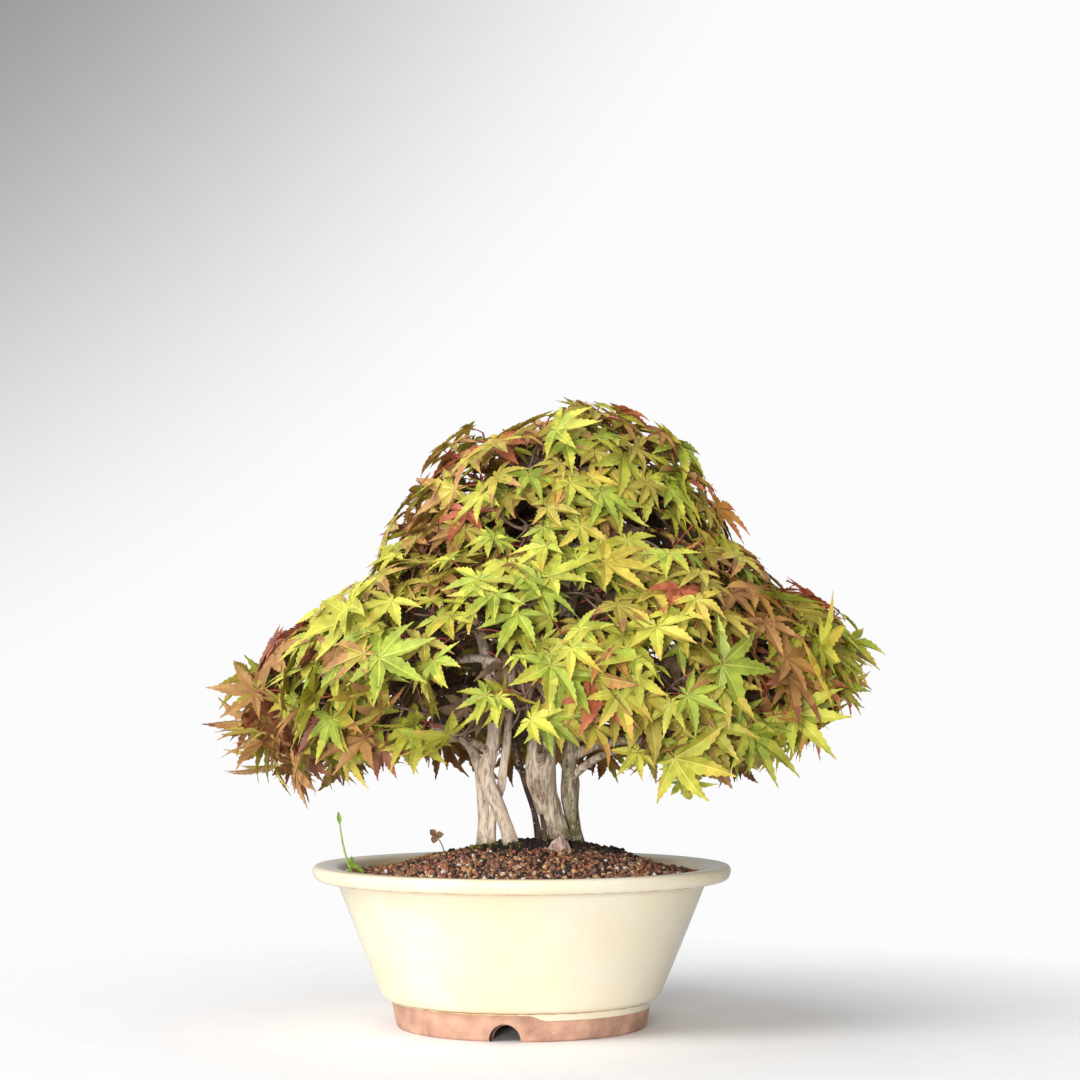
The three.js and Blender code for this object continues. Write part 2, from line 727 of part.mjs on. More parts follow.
const sites = spraySites(seeded(7));
const groups = new Map(MASSES.map((mass) => [mass.name, []]));
for (const site of sites) {
  const distance = (mass) => site.place.distanceToSquared(v3(...mass.centre));
  const nearest = MASSES.reduce((a, b) => (distance(a) <= distance(b) ? a : b));
  groups.get(nearest.name).push(site);
}
const wideLimbs = limbs.map((limb) => limb.wide);
MASSES.forEach((mass, i) => {
  const curve = boughEnds.get(mass.name);
  const direction = curve.getTangent(1);
  const start = curve.getPoint(1).addScaledVector(direction, GAP);
  const geometry = growMass(mass, groups.get(mass.name), start, direction, wideLimbs, 800 + i);
  addNode("foliage_" + mass.name, geometry, mass.tint);
});

// The part's origin is the middle of its footprint on the table.
const box = new THREE.Box3().setFromObject(plant);
plant.position.set(-(box.min.x + box.max.x) / 2, -(box.min.y + box.max.y) / 2, -box.min.z);

export default plant;
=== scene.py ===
# %% [markdown]
# # A Japanese maple bonsai in a round glazed pot
# The frame is the plant's plain solids: pot, soil, stems, boughs and thirteen masses of leaves. This
# script keeps their places and sizes, and builds finer pieces round them: bark, twigs, real leaves,
# loose soil and a glazed pot. Blender works in metres, so 0.001 is a millimetre.
# %% Load the frame
import math

import bpy
import numpy as np
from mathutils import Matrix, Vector, noise


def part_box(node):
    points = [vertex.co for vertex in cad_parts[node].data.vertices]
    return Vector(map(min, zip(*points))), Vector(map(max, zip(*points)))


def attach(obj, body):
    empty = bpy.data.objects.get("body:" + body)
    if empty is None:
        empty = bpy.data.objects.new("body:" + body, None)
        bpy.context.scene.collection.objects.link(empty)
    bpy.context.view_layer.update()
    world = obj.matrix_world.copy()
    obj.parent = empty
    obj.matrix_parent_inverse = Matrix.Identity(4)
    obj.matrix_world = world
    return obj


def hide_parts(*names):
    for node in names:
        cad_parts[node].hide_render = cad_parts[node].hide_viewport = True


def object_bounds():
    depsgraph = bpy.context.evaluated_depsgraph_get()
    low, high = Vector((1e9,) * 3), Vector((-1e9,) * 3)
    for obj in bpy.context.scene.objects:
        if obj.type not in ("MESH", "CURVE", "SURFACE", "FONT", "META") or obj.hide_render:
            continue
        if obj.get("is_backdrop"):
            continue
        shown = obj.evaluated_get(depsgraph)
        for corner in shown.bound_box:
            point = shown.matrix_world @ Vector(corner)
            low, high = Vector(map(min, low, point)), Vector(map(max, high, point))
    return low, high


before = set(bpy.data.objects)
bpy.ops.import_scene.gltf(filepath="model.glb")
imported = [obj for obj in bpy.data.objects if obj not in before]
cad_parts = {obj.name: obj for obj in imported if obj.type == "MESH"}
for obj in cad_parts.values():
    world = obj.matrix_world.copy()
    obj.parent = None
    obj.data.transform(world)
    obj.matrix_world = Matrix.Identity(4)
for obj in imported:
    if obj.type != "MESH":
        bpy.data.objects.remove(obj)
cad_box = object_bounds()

print("nodes in the frame:", len(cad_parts))
print("box:", [round(v, 4) for corner in cad_box for v in corner])

# %% [markdown]
# ## One middle for everything
# A potter throws the pot round an axis, and every size below is easiest to say from that axis, in
# millimetres. The frame's own middle is the middle of the leaves' box, so the pot's axis is found from
# the pot's box, and `metres` carries points from the one to the other.
# %% Find the pot's axis
pot_low, pot_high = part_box("pot")
pot_axis = np.array([(pot_low.x + pot_high.x) / 2, (pot_low.y + pot_high.y) / 2, 0.0])


def metres(points):
    """Points in millimetres round the pot's axis, as metres in the frame."""
    return np.asarray(points, float) / 1000 + pot_axis


print("pot's axis in the frame, in metres:", pot_axis.round(5))

# %% [markdown]
# ## Camera
# A long lens far away keeps the ellipse of the rim shallow and the crown free of bulge. An 80 mm lens
# on a 36 mm sensor, about 1.16 m away and a little above the crown's lower edge, tilted up by under
# four degrees, puts the pot low in a square frame with much air above the tree.
# %% Make the camera
CAMERA_PLACE = (8.67, -1156.2, 157.2)
CAMERA_TILT = 0.064


def placed(name, data):
    """A new object with this data, in the scene."""
    thing = bpy.data.objects.new(name, data)
    bpy.context.scene.collection.objects.link(thing)
    return thing


camera_data = bpy.data.cameras.new("camera")
camera_data.lens = 80
camera_data.sensor_width = 36
camera = placed("camera", camera_data)
camera.location = metres(CAMERA_PLACE)
camera.rotation_euler = (math.pi / 2 + CAMERA_TILT, 0, 0)
bpy.context.scene.camera = camera
bpy.context.scene.view_settings.view_transform = "Standard"
print("camera at", [round(v, 3) for v in camera.location])

# %% [markdown]
# ## Helpers for meshes
# Leaves, twigs and grains come by the thousand. Thousands of objects would be slow and could not leave
# Blender as one part, so each kind is gathered as plain lists of corners and triangles, and becomes one
# joined mesh at the end. `Heap` is that list.
# %% Gather points and faces


def smoothstep(value, low, high):
    """Zero below `low`, one above `high`, and a smooth rise between."""
    t = np.clip((value - low) / (high - low), 0, 1)
    return t * t * (3 - 2 * t)


class Heap:
    """Corners and faces of many small things that become one mesh."""

    def __init__(self):
        self.points = []
        self.faces = []
        self.count = 0

    def add(self, points, faces):
        self.points.append(np.asarray(points, float))
        self.faces.append(np.asarray(faces, int) + self.count)
        self.count += len(points)

    def arrays(self):
        return np.concatenate(self.points), np.concatenate(self.faces)


def make_piece(name, points, faces, finish, slot, nodes, smooth=True, sharp=None):
    """A mesh piece that rides on the plant, wears a finish and stands for the named nodes."""
    faces = np.asarray(faces)
    used, index = np.unique(faces, return_inverse=True)
    mesh = bpy.data.meshes.new(name)
    mesh.from_pydata(metres(np.asarray(points)[used]), [], index.reshape(faces.shape).tolist())
    if smooth:
        mesh.shade_smooth()
    if sharp:
        mesh.set_sharp_from_angle(angle=math.radians(sharp))
    mesh.materials.append(finish)
    piece = placed(name, mesh)
    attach(piece, "root")
    if nodes:
        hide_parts(*nodes)
    print(f"{name}: {len(mesh.polygons)} faces")
    return piece


def grid_faces(rings, sides):
    """Triangles between rings of corners that follow each other."""
    ring = np.arange(rings - 1)[:, None] * sides
    corner = np.arange(sides)[None, :]
    a, b = (ring + corner).ravel(), (ring + (corner + 1) % sides).ravel()
    c, d = b + sides, a + sides
    return np.concatenate([np.stack([a, b, c], 1), np.stack([a, c, d], 1)])


def unit(vector):
    """The same direction with length one."""
    vector = np.asarray(vector, float)
    return vector / max(np.linalg.norm(vector), 1e-9)

# %% [markdown]
# A tube that follows a line makes stems, twigs, leaf stalks and seedlings. Each ring stands square to the
# line, and the side it starts from is carried along, so the tube never twists.
# %% Sweep a tube
KNEE = 0.45  # how far along the reach of a bend its knee lies


def circle(count):
    """Evenly spaced angles once round."""
    return 2 * np.pi * np.arange(count) / count


def sweep(line, reaches, sides, side, tip):
    """Corners and triangles of rings along a line, closed by a tip beyond it. The first ring starts at
    `side`, and each has one distance from the line, or a column of one for each corner."""
    ways = np.gradient(line, axis=0)
    turns = circle(sides)[:, None]
    rings = []
    for place, way, reach in zip(line, ways, reaches):
        way = unit(way)
        side = unit(side - way * side.dot(way))
        rings.append(place + reach * (np.cos(turns) * side + np.sin(turns) * np.cross(way, side)))
    points = np.concatenate(rings + [line[-1:] + unit(ways[-1]) * tip])
    last = (len(line) - 1) * sides
    cap = [(last + k, last + (k + 1) % sides, len(points) - 1) for k in range(sides)]
    return points, np.concatenate([grid_faces(len(line), sides), cap])


def tube(line, radii, sides):
    """A smooth round tube along a line."""
    return sweep(line, radii, sides, np.cross(line[1] - line[0], (0.3, 0.5, 0.81)), radii[-1])


def arc(start, knee, end, steps):
    """A line from start to end that is drawn towards a knee."""
    t = np.linspace(0, 1, steps + 1)[:, None]
    return start * (1 - t) ** 2 + 2 * knee * t * (1 - t) + end * t**2


def bend(start, end, way, steps, sag=0.0):
    """A line from start to end that leaves along `way` and sags in its middle."""
    start, end = np.asarray(start, float), np.asarray(end, float)
    line = arc(start, start + unit(way) * np.linalg.norm(end - start) * KNEE, end, steps)
    line[:, 2] -= sag * np.sin(np.pi * np.linspace(0, 1, steps + 1))
    return line


def lengths_along(line):
    """How far along a line each of its points lies."""
    return np.concatenate([[0], np.cumsum(np.linalg.norm(np.diff(line, axis=0), axis=1))])

# %% [markdown]
# ## Helpers for finishes
# A finish is a material made of nodes. Three effects come back in many of them, so each is a node group
# with named inputs, made once: `Mottle` clouds two tints into each other, `Specks` scatters small dots,
# and `Level band` marks a belt between two heights. The shader itself stays in every material.
# %% Node groups
COLOUR, NUMBER, VECTOR = "NodeSocketColor", "NodeSocketFloat", "NodeSocketVector"
RAG = 0.0003  # metres that the edge of a belt wanders up and down


def add_node(tree, kind, inputs=(), **settings):
    """Adds a shader node, whose inputs get a constant or another node's output. Gives its outputs."""
    node = tree.nodes.new("ShaderNode" + kind)
    for label, value in settings.items():
        setattr(node, label, value)
    for label, value in dict(inputs).items():
        if isinstance(value, bpy.types.NodeSocket):
            tree.links.new(value, node.inputs[label])
        else:
            node.inputs[label].default_value = value
    return node.outputs


def span(tree, value, low, high, to_low=0.0, to_high=1.0, kind="LINEAR"):
    """A value moved from one range to another, and held inside it."""
    ends = {"From Min": low, "From Max": high, "To Min": to_low, "To Max": to_high}
    return add_node(tree, "MapRange", {"Value": value, **ends}, interpolation_type=kind)["Result"]


def new_group(name, inputs, outputs):
    """A shader node group with named sockets: its tree, what it is given and what it makes."""
    tree = bpy.data.node_groups.new(name, "ShaderNodeTree")
    for label, kind, value in inputs:
        tree.interface.new_socket(name=label, in_out="INPUT", socket_type=kind).default_value = value
    for label, kind in outputs:
        tree.interface.new_socket(name=label, in_out="OUTPUT", socket_type=kind)
    return tree, tree.nodes.new("NodeGroupInput").outputs, tree.nodes.new("NodeGroupOutput").inputs


def stretched_place(tree, given):
    """Object coordinates, multiplied by the group's Stretch input."""
    place = add_node(tree, "TexCoord")["Object"]
    return add_node(tree, "VectorMath", {0: place, 1: given["Stretch"]}, operation="MULTIPLY")["Vector"]


def mottle_group():
    """Two tints clouded into each other by soft noise, and the noise as a height."""
    tree, given, made = new_group(
        "Mottle",
        [("Light tint", COLOUR, (0.8, 0.8, 0.8, 1)), ("Dark tint", COLOUR, (0.2, 0.2, 0.2, 1)),
         ("Clouds per metre", NUMBER, 100.0), ("Stretch", VECTOR, (1, 1, 1))],
        [("Colour", COLOUR), ("Height", NUMBER)])
    cloud = add_node(tree, "TexNoise", {
        "Detail": 5, "Roughness": 0.6, "Vector": stretched_place(tree, given),
        "Scale": given["Clouds per metre"]})["Fac"]
    tints = {"A": given["Dark tint"], "B": given["Light tint"]}
    blend = add_node(tree, "Mix", {"Factor": span(tree, cloud, 0.36, 0.64), **tints}, data_type="RGBA")
    tree.links.new(blend["Result"], made["Colour"])
    tree.links.new(cloud, made["Height"])
    return tree


def specks_group():
    """Small dots, each in its own cell. The mask is one inside a dot."""
    tree, given, made = new_group(
        "Specks",
        [("Cells per metre", NUMBER, 300.0), ("Dot size", NUMBER, 0.15), ("Stretch", VECTOR, (1, 1, 1))],
        [("Mask", NUMBER)])
    cells = {"Vector": stretched_place(tree, given), "Scale": given["Cells per metre"]}
    far = add_node(tree, "TexVoronoi", cells)["Distance"]
    inside = add_node(tree, "Math", {0: far, 1: given["Dot size"]}, operation="LESS_THAN")
    tree.links.new(inside["Value"], made["Mask"])
    return tree


def band_group():
    """A belt round the object between two heights, with a slightly ragged edge."""
    tree, given, made = new_group(
        "Level band", [("Middle", NUMBER, 0.013), ("Half width", NUMBER, 0.001)], [("Mask", NUMBER)])
    place = add_node(tree, "TexCoord")["Object"]
    rag = span(tree, add_node(tree, "TexNoise", {"Vector": place, "Scale": 160})["Fac"], 0.3, 0.7, -RAG, RAG)
    value = add_node(tree, "SeparateXYZ", {"Vector": place})["Z"]
    for operation, other in (("ADD", rag), ("SUBTRACT", given["Middle"]), ("ABSOLUTE", 0.0),
                             ("DIVIDE", given["Half width"])):
        value = add_node(tree, "Math", {0: value, 1: other}, operation=operation)["Value"]
    tree.links.new(span(tree, value, 0.5, 1.0, 1.0, 0.0), made["Mask"])
    return tree


MOTTLE, SPECKS, BAND = mottle_group(), specks_group(), band_group()
print("node groups:", [group.name for group in (MOTTLE, SPECKS, BAND)])

# %% [markdown]
# `Finish` builds one material: it starts with a Principled shader, places groups with their own values,
# mixes colours by masks and adds bumps one after the other. `clouded` is the plainest whole finish.
# %% Put a finish together


def tint(red, green, blue):
    """An sRGB colour of 0 to 255 as the linear colour that shaders use."""
    return tuple((c / 255 / 12.92) if c < 10.3 else ((c / 255 + 0.055) / 1.055) ** 2.4
                 for c in (red, green, blue)) + (1.0,)


class Finish:
    """A material under construction."""

    def __init__(self, name, **shader):
        self.material = bpy.data.materials.new(name)
        self.material.use_nodes = True
        self.tree = self.material.node_tree
        self.shader = next(n for n in self.tree.nodes if n.type == "BSDF_PRINCIPLED")
        for label, value in shader.items():
            self.shader.inputs[label.replace("_", " ")].default_value = value
        self.normal = None

    def clouds(self, light, dark, per_metre, stretch=(1, 1, 1)):
        """Two tints in soft clouds: their Colour, and the clouds' Height."""
        values = {"Light tint": light, "Dark tint": dark, "Clouds per metre": per_metre, "Stretch": stretch}
        return add_node(self.tree, "Group", values, node_tree=MOTTLE)

    def specks(self, per_metre, size, stretch=(1, 1, 1)):
        """A mask of small dots."""
        values = {"Cells per metre": per_metre, "Dot size": size, "Stretch": stretch}
        return add_node(self.tree, "Group", values, node_tree=SPECKS)["Mask"]

    def band(self, middle, half_width):
        """A mask of a belt at a height."""
        values = {"Middle": middle, "Half width": half_width}
        return add_node(self.tree, "Group", values, node_tree=BAND)["Mask"]

    def mixed(self, mask, first, second):
        """The first colour, with the second one where the mask is one."""
        colours = {"Factor": mask, "A": first, "B": second}
        return add_node(self.tree, "Mix", colours, data_type="RGBA")["Result"]

    def wear(self, colour):
        """The shader takes this colour."""
        self.tree.links.new(colour, self.shader.inputs["Base Color"])

    def relief(self, height, distance, strength):
        """One more bump on top of those made before."""
        below = {"Normal": self.normal} if self.normal else {}
        bump = {"Height": height, "Distance": distance, "Strength": strength, **below}
        self.normal = add_node(self.tree, "Bump", bump)["Normal"]
        self.tree.links.new(self.normal, self.shader.inputs["Normal"])


def clouded(name, roughness, light, dark, per_metre, distance, strength, stretch=(1, 1, 1)):
    """The material of a whole finish of two tints in clouds, with the clouds as its relief."""
    finish = Finish(name, Roughness=roughness)
    clouds = finish.clouds(light, dark, per_metre, stretch)
    finish.wear(clouds["Colour"])
    finish.relief(clouds["Height"], distance, strength)
    return finish.material


print("a middle grey for shaders:", round(tint(128, 128, 128)[0], 3))

# %% [markdown]
# ## Pot: shape
# The pot is thrown on a wheel, so half of its section turned round the axis gives it whole. The wall
# flares in a straight line from a stepped foot to a flat rim that overhangs it. Glaze covers all of it
# but the foot ring, where the bare clay shows, so there are two sections: what it covers, and the clay.
# %% Turn the pot's section
POT_SEGMENTS = 160
GLAZED_SECTION = [
    (9, 14), (30, 14), (59.5, 14), (71.5, 36), (83.5, 58.5), (85.6, 68), (86.6, 72.4), (87.4, 74.2),
    (88.6, 75.1), (90.2, 75.5), (94, 75.8), (97.4, 76), (98.7, 75.8), (99.5, 75.2), (99.95, 74.2),
    (100, 73), (99.6, 71.4), (99, 70.3), (98.2, 69.6), (97.2, 69.15), (95.4, 68.9), (92.4, 68.5),
    (89.6, 67.9), (88.1, 67.2), (87.5, 66.1), (86.9, 64.6), (83.2, 55.6), (78.1, 43.2), (72.9, 30.6),
    (68.8, 20.6), (67.3, 17), (66.4, 15.2), (65.2, 13.8), (63.9, 13.2), (62.6, 12.95), (62, 12.7),
    (61.95, 12.2), (61.8, 11.9), (61.3, 11.8),
]
CLAY_SECTION = [
    (61.55, 12.6), (61.75, 12.2), (61.6, 11.4), (60.9, 7.4), (60.1, 3), (59.75, 1.2), (59.3, 0.35),
    (58.6, 0), (51.6, 0), (50.9, 0.3), (50.6, 1), (50.5, 6.4), (50, 7), (30, 7), (9, 7), (9, 13.9),
    (61.5, 12.65),
]


def turned(section):
    """Corners and triangles of a section of radius and height turned round the pot's axis."""
    x, y = np.cos(circle(POT_SEGMENTS)), np.sin(circle(POT_SEGMENTS))
    rings = [np.stack([r * x, r * y, np.full(POT_SEGMENTS, z)], 1) for r, z in section]
    return np.concatenate(rings), grid_faces(len(section), POT_SEGMENTS)


glazed_points, glazed_faces = turned(GLAZED_SECTION)
clay_points, clay_faces = turned(CLAY_SECTION)
print("rings in the glazed section:", len(GLAZED_SECTION))

# %% [markdown]
# The potter holds the pot by its foot and dips it, never quite level. On the right the glaze came nearly
# 3 mm further down over the clay, and it thins out to a tan line there, as it does on the left higher up.
# %% Let the glaze run lower on the right
RUN_DEPTH, RUN_MIDDLE, RUN_HALF_WIDTH, RUN_FADE = 2.6, -25, 62, 8  # millimetres, then degrees round the pot
EDGE_RINGS, EDGE_RADIUS, EDGE_SLOPE = 3, 61.8, 0.175  # the foot draws in as the glaze runs down it
bearings = np.degrees(np.arctan2(glazed_points[:, 1], glazed_points[:, 0]))
aside = np.abs(bearings - RUN_MIDDLE)
run = RUN_DEPTH * (1 - smoothstep(aside, RUN_HALF_WIDTH - RUN_FADE, RUN_HALF_WIDTH))
edge = np.arange(len(glazed_points)) >= len(glazed_points) - EDGE_RINGS * POT_SEGMENTS
glazed_points[edge, 2] -= run[edge]
glazed_points[edge, :2] *= (1 - EDGE_SLOPE * run[edge] / EDGE_RADIUS)[:, None]
print("lowest glaze, in mm:", glazed_points[:, 2].min().round(2))

# %% [markdown]
# Hand finishing leaves the foot slightly uneven, and its lower edge chipped. A little noise moves the
# corners, less than half a millimetre, which is enough for the light to run over it unevenly.
# %% Make the turned shapes a little uneven
SWELLS_PER_METRE, SWELL = 22, 0.5
CHIPS_PER_MM, CHIP_SHARE, CHIP_DEPTH = 0.35, 0.25, 0.018


def uneven(points):
    """The points, each moved in or out by soft noise."""
    moved = np.array(points, float)
    for point in moved:
        swell = noise.noise(Vector(point) * SWELLS_PER_METRE / 1000) * SWELL
        point[:2] *= 1 + swell / max(math.hypot(point[0], point[1]), 1)
    return moved


glazed_points, clay_points = uneven(glazed_points), uneven(clay_points)
low_edge = (clay_points[:, 2] < 1.5) & (np.hypot(clay_points[:, 0], clay_points[:, 1]) > 57)
for i in np.flatnonzero(low_edge):
    bite = max(0.0, noise.noise(Vector(clay_points[i]) * CHIPS_PER_MM) - CHIP_SHARE)
    clay_points[i, :2] *= 1 - CHIP_DEPTH * bite
print("corners on the clay's lower edge:", int(low_edge.sum()))

# %% [markdown]
# ## Pot: finish
# A cream glaze is glass over clay: smooth, glossy, with faint clouds of a yellower cream, a few pinholes
# where gas came through, and a tan line where it runs thin at its lower edge above the foot; a second tan
# line runs round the lower edge of the lip. The clay is matt, pinkish tan, with fine grog and pale scuffs.
# %% Glaze and clay
glaze = Finish("cream_glaze", Roughness=0.16, IOR=1.5)
cream = glaze.clouds(tint(229, 220, 198), tint(226, 211, 174), 14)
pinholes = glaze.specks(170, 0.032)
glaze_colour = glaze.mixed(pinholes, cream["Colour"], tint(150, 128, 96))
# two tan lines: where the glaze thins at its edge above the foot, and round the lower edge of the lip
for height, half_width, thin in ((0.0129, 0.0006, tint(176, 142, 98)), (0.0690, 0.0005, tint(186, 158, 120))):
    glaze_colour = glaze.mixed(glaze.band(height, half_width), glaze_colour, thin)
glaze.wear(glaze_colour)
glaze.relief(cream["Height"], 0.0005, 0.15)
glaze.relief(pinholes, -0.0003, 0.6)

clay = Finish("bare_clay", Roughness=0.85)
body = clay.clouds(tint(204, 160, 136), tint(164, 124, 104), 90)
grog, scuffs = clay.specks(900, 0.22), clay.specks(150, 0.07, (1, 1, 2.2))
clay_colour = clay.mixed(grog, body["Colour"], tint(190, 150, 126))
clay.wear(clay.mixed(scuffs, clay_colour, tint(232, 204, 178)))
clay.relief(body["Height"], 0.0008, 0.6)
clay.relief(grog, 0.0002, 0.5)

thin_glaze = clouded("glaze_edge", 0.3, tint(196, 166, 120), tint(150, 116, 76), 220, 0.0004, 0.3)
print("finishes:", glaze.material.name, clay.material.name, thin_glaze.name)

# %% [markdown]
# Three half-round arches go through the foot ring, so water can run out when the pot stands on a flat
# shelf. A Boolean modifier cuts them, and its result is then kept as the mesh.
# %% Cut the drain arches
ARCH_PROFILE = [(44, 6.5), (57.5, 6.5), (60.5, 7.9), (66, 12)]  # distance from the axis, and radius
ARCH_BEARINGS = [-97, 23, 143]
ARCH_SIDES = 32
on_edge = glazed_faces.max(axis=1) >= len(glazed_points) - 2 * POT_SEGMENTS
make_piece("pot_glazed_body", glazed_points, glazed_faces[~on_edge], glaze.material, "glazed_pot", ["pot"],
           sharp=50)
make_piece("pot_glaze_edge", glazed_points, glazed_faces[on_edge], thin_glaze, "glazed_pot", ["pot"])
foot = make_piece("pot_bare_foot", clay_points, clay_faces, clay.material, "glazed_pot", ["pot"], sharp=40)


def arch_cutter(bearing):
    """A round bar along the ground, out across the foot ring, that flares where a thumb wiped it."""
    out = np.array([math.cos(math.radians(bearing)), math.sin(math.radians(bearing)), 0])
    turns = circle(ARCH_SIDES)[:, None]
    ring = np.cos(turns) * (-out[1], out[0], 0) + np.sin(turns) * (0, 0, 1)
    points = np.concatenate([ring * radius + out * reach for reach, radius in ARCH_PROFILE])
    corners = list(range(len(points)))
    caps = [corners[:ARCH_SIDES][::-1], corners[-ARCH_SIDES:]]
    mesh = bpy.data.meshes.new("cutter")
    mesh.from_pydata(metres(points), [], grid_faces(len(ARCH_PROFILE), ARCH_SIDES).tolist() + caps)
    return placed("cutter", mesh)


cutters = [arch_cutter(bearing) for bearing in ARCH_BEARINGS]
for cutter in cutters:
    cut = foot.modifiers.new("arch", "BOOLEAN")
    cut.object = cutter
    cut.operation = "DIFFERENCE"
bpy.context.view_layer.update()
shaped = bpy.data.meshes.new_from_object(foot.evaluated_get(bpy.context.evaluated_depsgraph_get()))
foot.modifiers.clear()
foot.data = shaped
for cutter in cutters:
    bpy.data.objects.remove(cutter)
print("faces in the foot after the arches:", len(shaped.polygons))

# %% [markdown]
# ## Soil: bed
# The root ball rises to a low mound. Its height is one smooth swell that fades out at the rim, the same
# rule as the solid's, with fine noise on top so that no gap shows between the grains.
# %% Shape the bed
SOIL_RADIUS, SOIL_LEVEL, SOIL_FADE = 86.6, 71.5, 40
SWELL_HEIGHT, SWELL_X, SWELL_SPREAD = 14.5, 8.0, 46.0


def soil_height(x, y):
    """Height of the soil at a place in the pot."""
    swell = np.exp(-((x - SWELL_X) ** 2 + y**2) / (2 * SWELL_SPREAD**2))
    return SOIL_LEVEL + SWELL_HEIGHT * swell * smoothstep(SOIL_RADIUS - np.hypot(x, y), 0, SOIL_FADE)


BED_RINGS, BED_SEGMENTS = 60, 120
BED_DEPTH, BED_ROUGHNESS, LUMPS_PER_MM = 1.0, 0.9, 0.35
bed_radii = np.linspace(0.4, SOIL_RADIUS, BED_RINGS)
bed_turns = circle(BED_SEGMENTS)
bed = np.stack([np.outer(bed_radii, np.cos(bed_turns)), np.outer(bed_radii, np.sin(bed_turns))], -1)
bed = bed.reshape(-1, 2)
bed_z = [soil_height(x, y) - BED_DEPTH + BED_ROUGHNESS * noise.noise(Vector((x, y, 0)) * LUMPS_PER_MM)
         for x, y in bed]
bed_points = np.column_stack([bed, bed_z])
print("bed rises from", round(min(bed_z), 1), "to", round(max(bed_z), 1), "mm")

# %% [markdown]
# ## Soil: grains
# Bonsai soil is fired clay, broken and sieved: brown, rusty and nearly black grains of one to three
# millimetres, with a few pale bits of pumice. Each grain is a lump of twenty faces pulled out of
# shape. One joined mesh for each colour keeps them cheap, and each colour is a plain finish of its own.
# %% Scatter the grains
soil_random = np.random.default_rng(11)
GOLDEN = (1 + 5**0.5) / 2
LUMP = np.array([(a, b * GOLDEN, 0) for a in (-1, 1) for b in (-1, 1)])
LUMP = np.concatenate([LUMP, LUMP[:, [2, 0, 1]], LUMP[:, [1, 2, 0]]]) / math.hypot(1, GOLDEN)


def hull_faces(points):
    """Triangles of the convex hull of a few points, each turned outward."""
    faces = []
    count = len(points)
    for i in range(count):
        for j in range(i + 1, count):
            for k in range(j + 1, count):
                normal = np.cross(points[j] - points[i], points[k] - points[i])
                side = (points - points[i]) @ normal
                if (side < 1e-6).all():
                    faces.append((i, j, k))
                elif (side > -1e-6).all():
                    faces.append((i, k, j))
    return faces


LUMP_FACES = hull_faces(LUMP)
GRAIN_KINDS = {  # share of all grains, light tint and dark tint
    "brown": (0.42, tint(170, 124, 98), tint(106, 74, 58)),
    "rusty": (0.18, tint(206, 132, 94), tint(146, 86, 60)),
    "black": (0.24, tint(86, 70, 64), tint(42, 35, 34)),
    "ochre": (0.12, tint(228, 184, 132), tint(184, 138, 92)),
    "pale": (0.04, tint(250, 242, 230), tint(222, 206, 188)),
}
GRAIN_COUNT = 9000
GRAIN_RADIUS = (0.4, 1.4)
GRAIN_PULL, GRAIN_STRETCH = 0.6, (0.6, 1.25)
GRAIN_LIFT, GRAIN_DEPTH = (-0.5, 0.45), 0.3  # in radii, then millimetres


def lump(random, pull):
    """The lump, with each corner pulled in or out at random."""
    return LUMP * (1 + pull * (random.random((12, 1)) - 0.5))


def random_turn(random):
    """A random rotation matrix."""
    q, _ = np.linalg.qr(random.normal(size=(3, 3)))
    return q * np.sign(np.linalg.det(q))


def scatter_grains(random, share):
    """Lumps of one kind, spread over the whole bed and half sunk in it."""
    heap = Heap()
    for _ in range(int(GRAIN_COUNT * share)):
        reach = (SOIL_RADIUS - 1.0) * math.sqrt(random.random())
        turn = 2 * math.pi * random.random()
        x, y = reach * math.cos(turn), reach * math.sin(turn)
        radius = random.uniform(*GRAIN_RADIUS)
        shape = lump(random, GRAIN_PULL) * random.uniform(*GRAIN_STRETCH, 3)
        z = soil_height(x, y) + radius * random.uniform(*GRAIN_LIFT) - GRAIN_DEPTH
        heap.add(shape @ random_turn(random).T * radius + (x, y, z), LUMP_FACES)
    return heap


def soil_piece(name, heap, finish):
    """A joined piece of loose lumps or blades with flat faces."""
    make_piece("soil_" + name, *heap.arrays(), finish, "soil", ["soil"], smooth=False)


dust = clouded("soil_dust", 0.95, tint(112, 74, 56), tint(56, 40, 34), 420, 0.002, 0.9)
make_piece("soil_bed", bed_points, grid_faces(BED_RINGS, BED_SEGMENTS), dust, "soil", ["soil"])
for name, (share, light, dark) in GRAIN_KINDS.items():
    soil_piece("grains_" + name, scatter_grains(soil_random, share),
               clouded("grain_" + name, 0.9, light, dark, 700, 0.0006, 0.8))

# %% [markdown]
# Black crumbs of compost lie round the stems, moss has settled at their feet, a chip of pinkish stone
# lies in front, and two seedlings have come up: a green one by the rim, and a small brown clover. They
# are the sort of thing that tells a living pot from a new one. Moss is hundreds of short blades.
# %% Lay the small things on the soil


def on_soil(x, y, lift=0.0):
    """A point on the soil at a place in the pot."""
    return np.array([x, y, float(soil_height(x, y)) + lift])


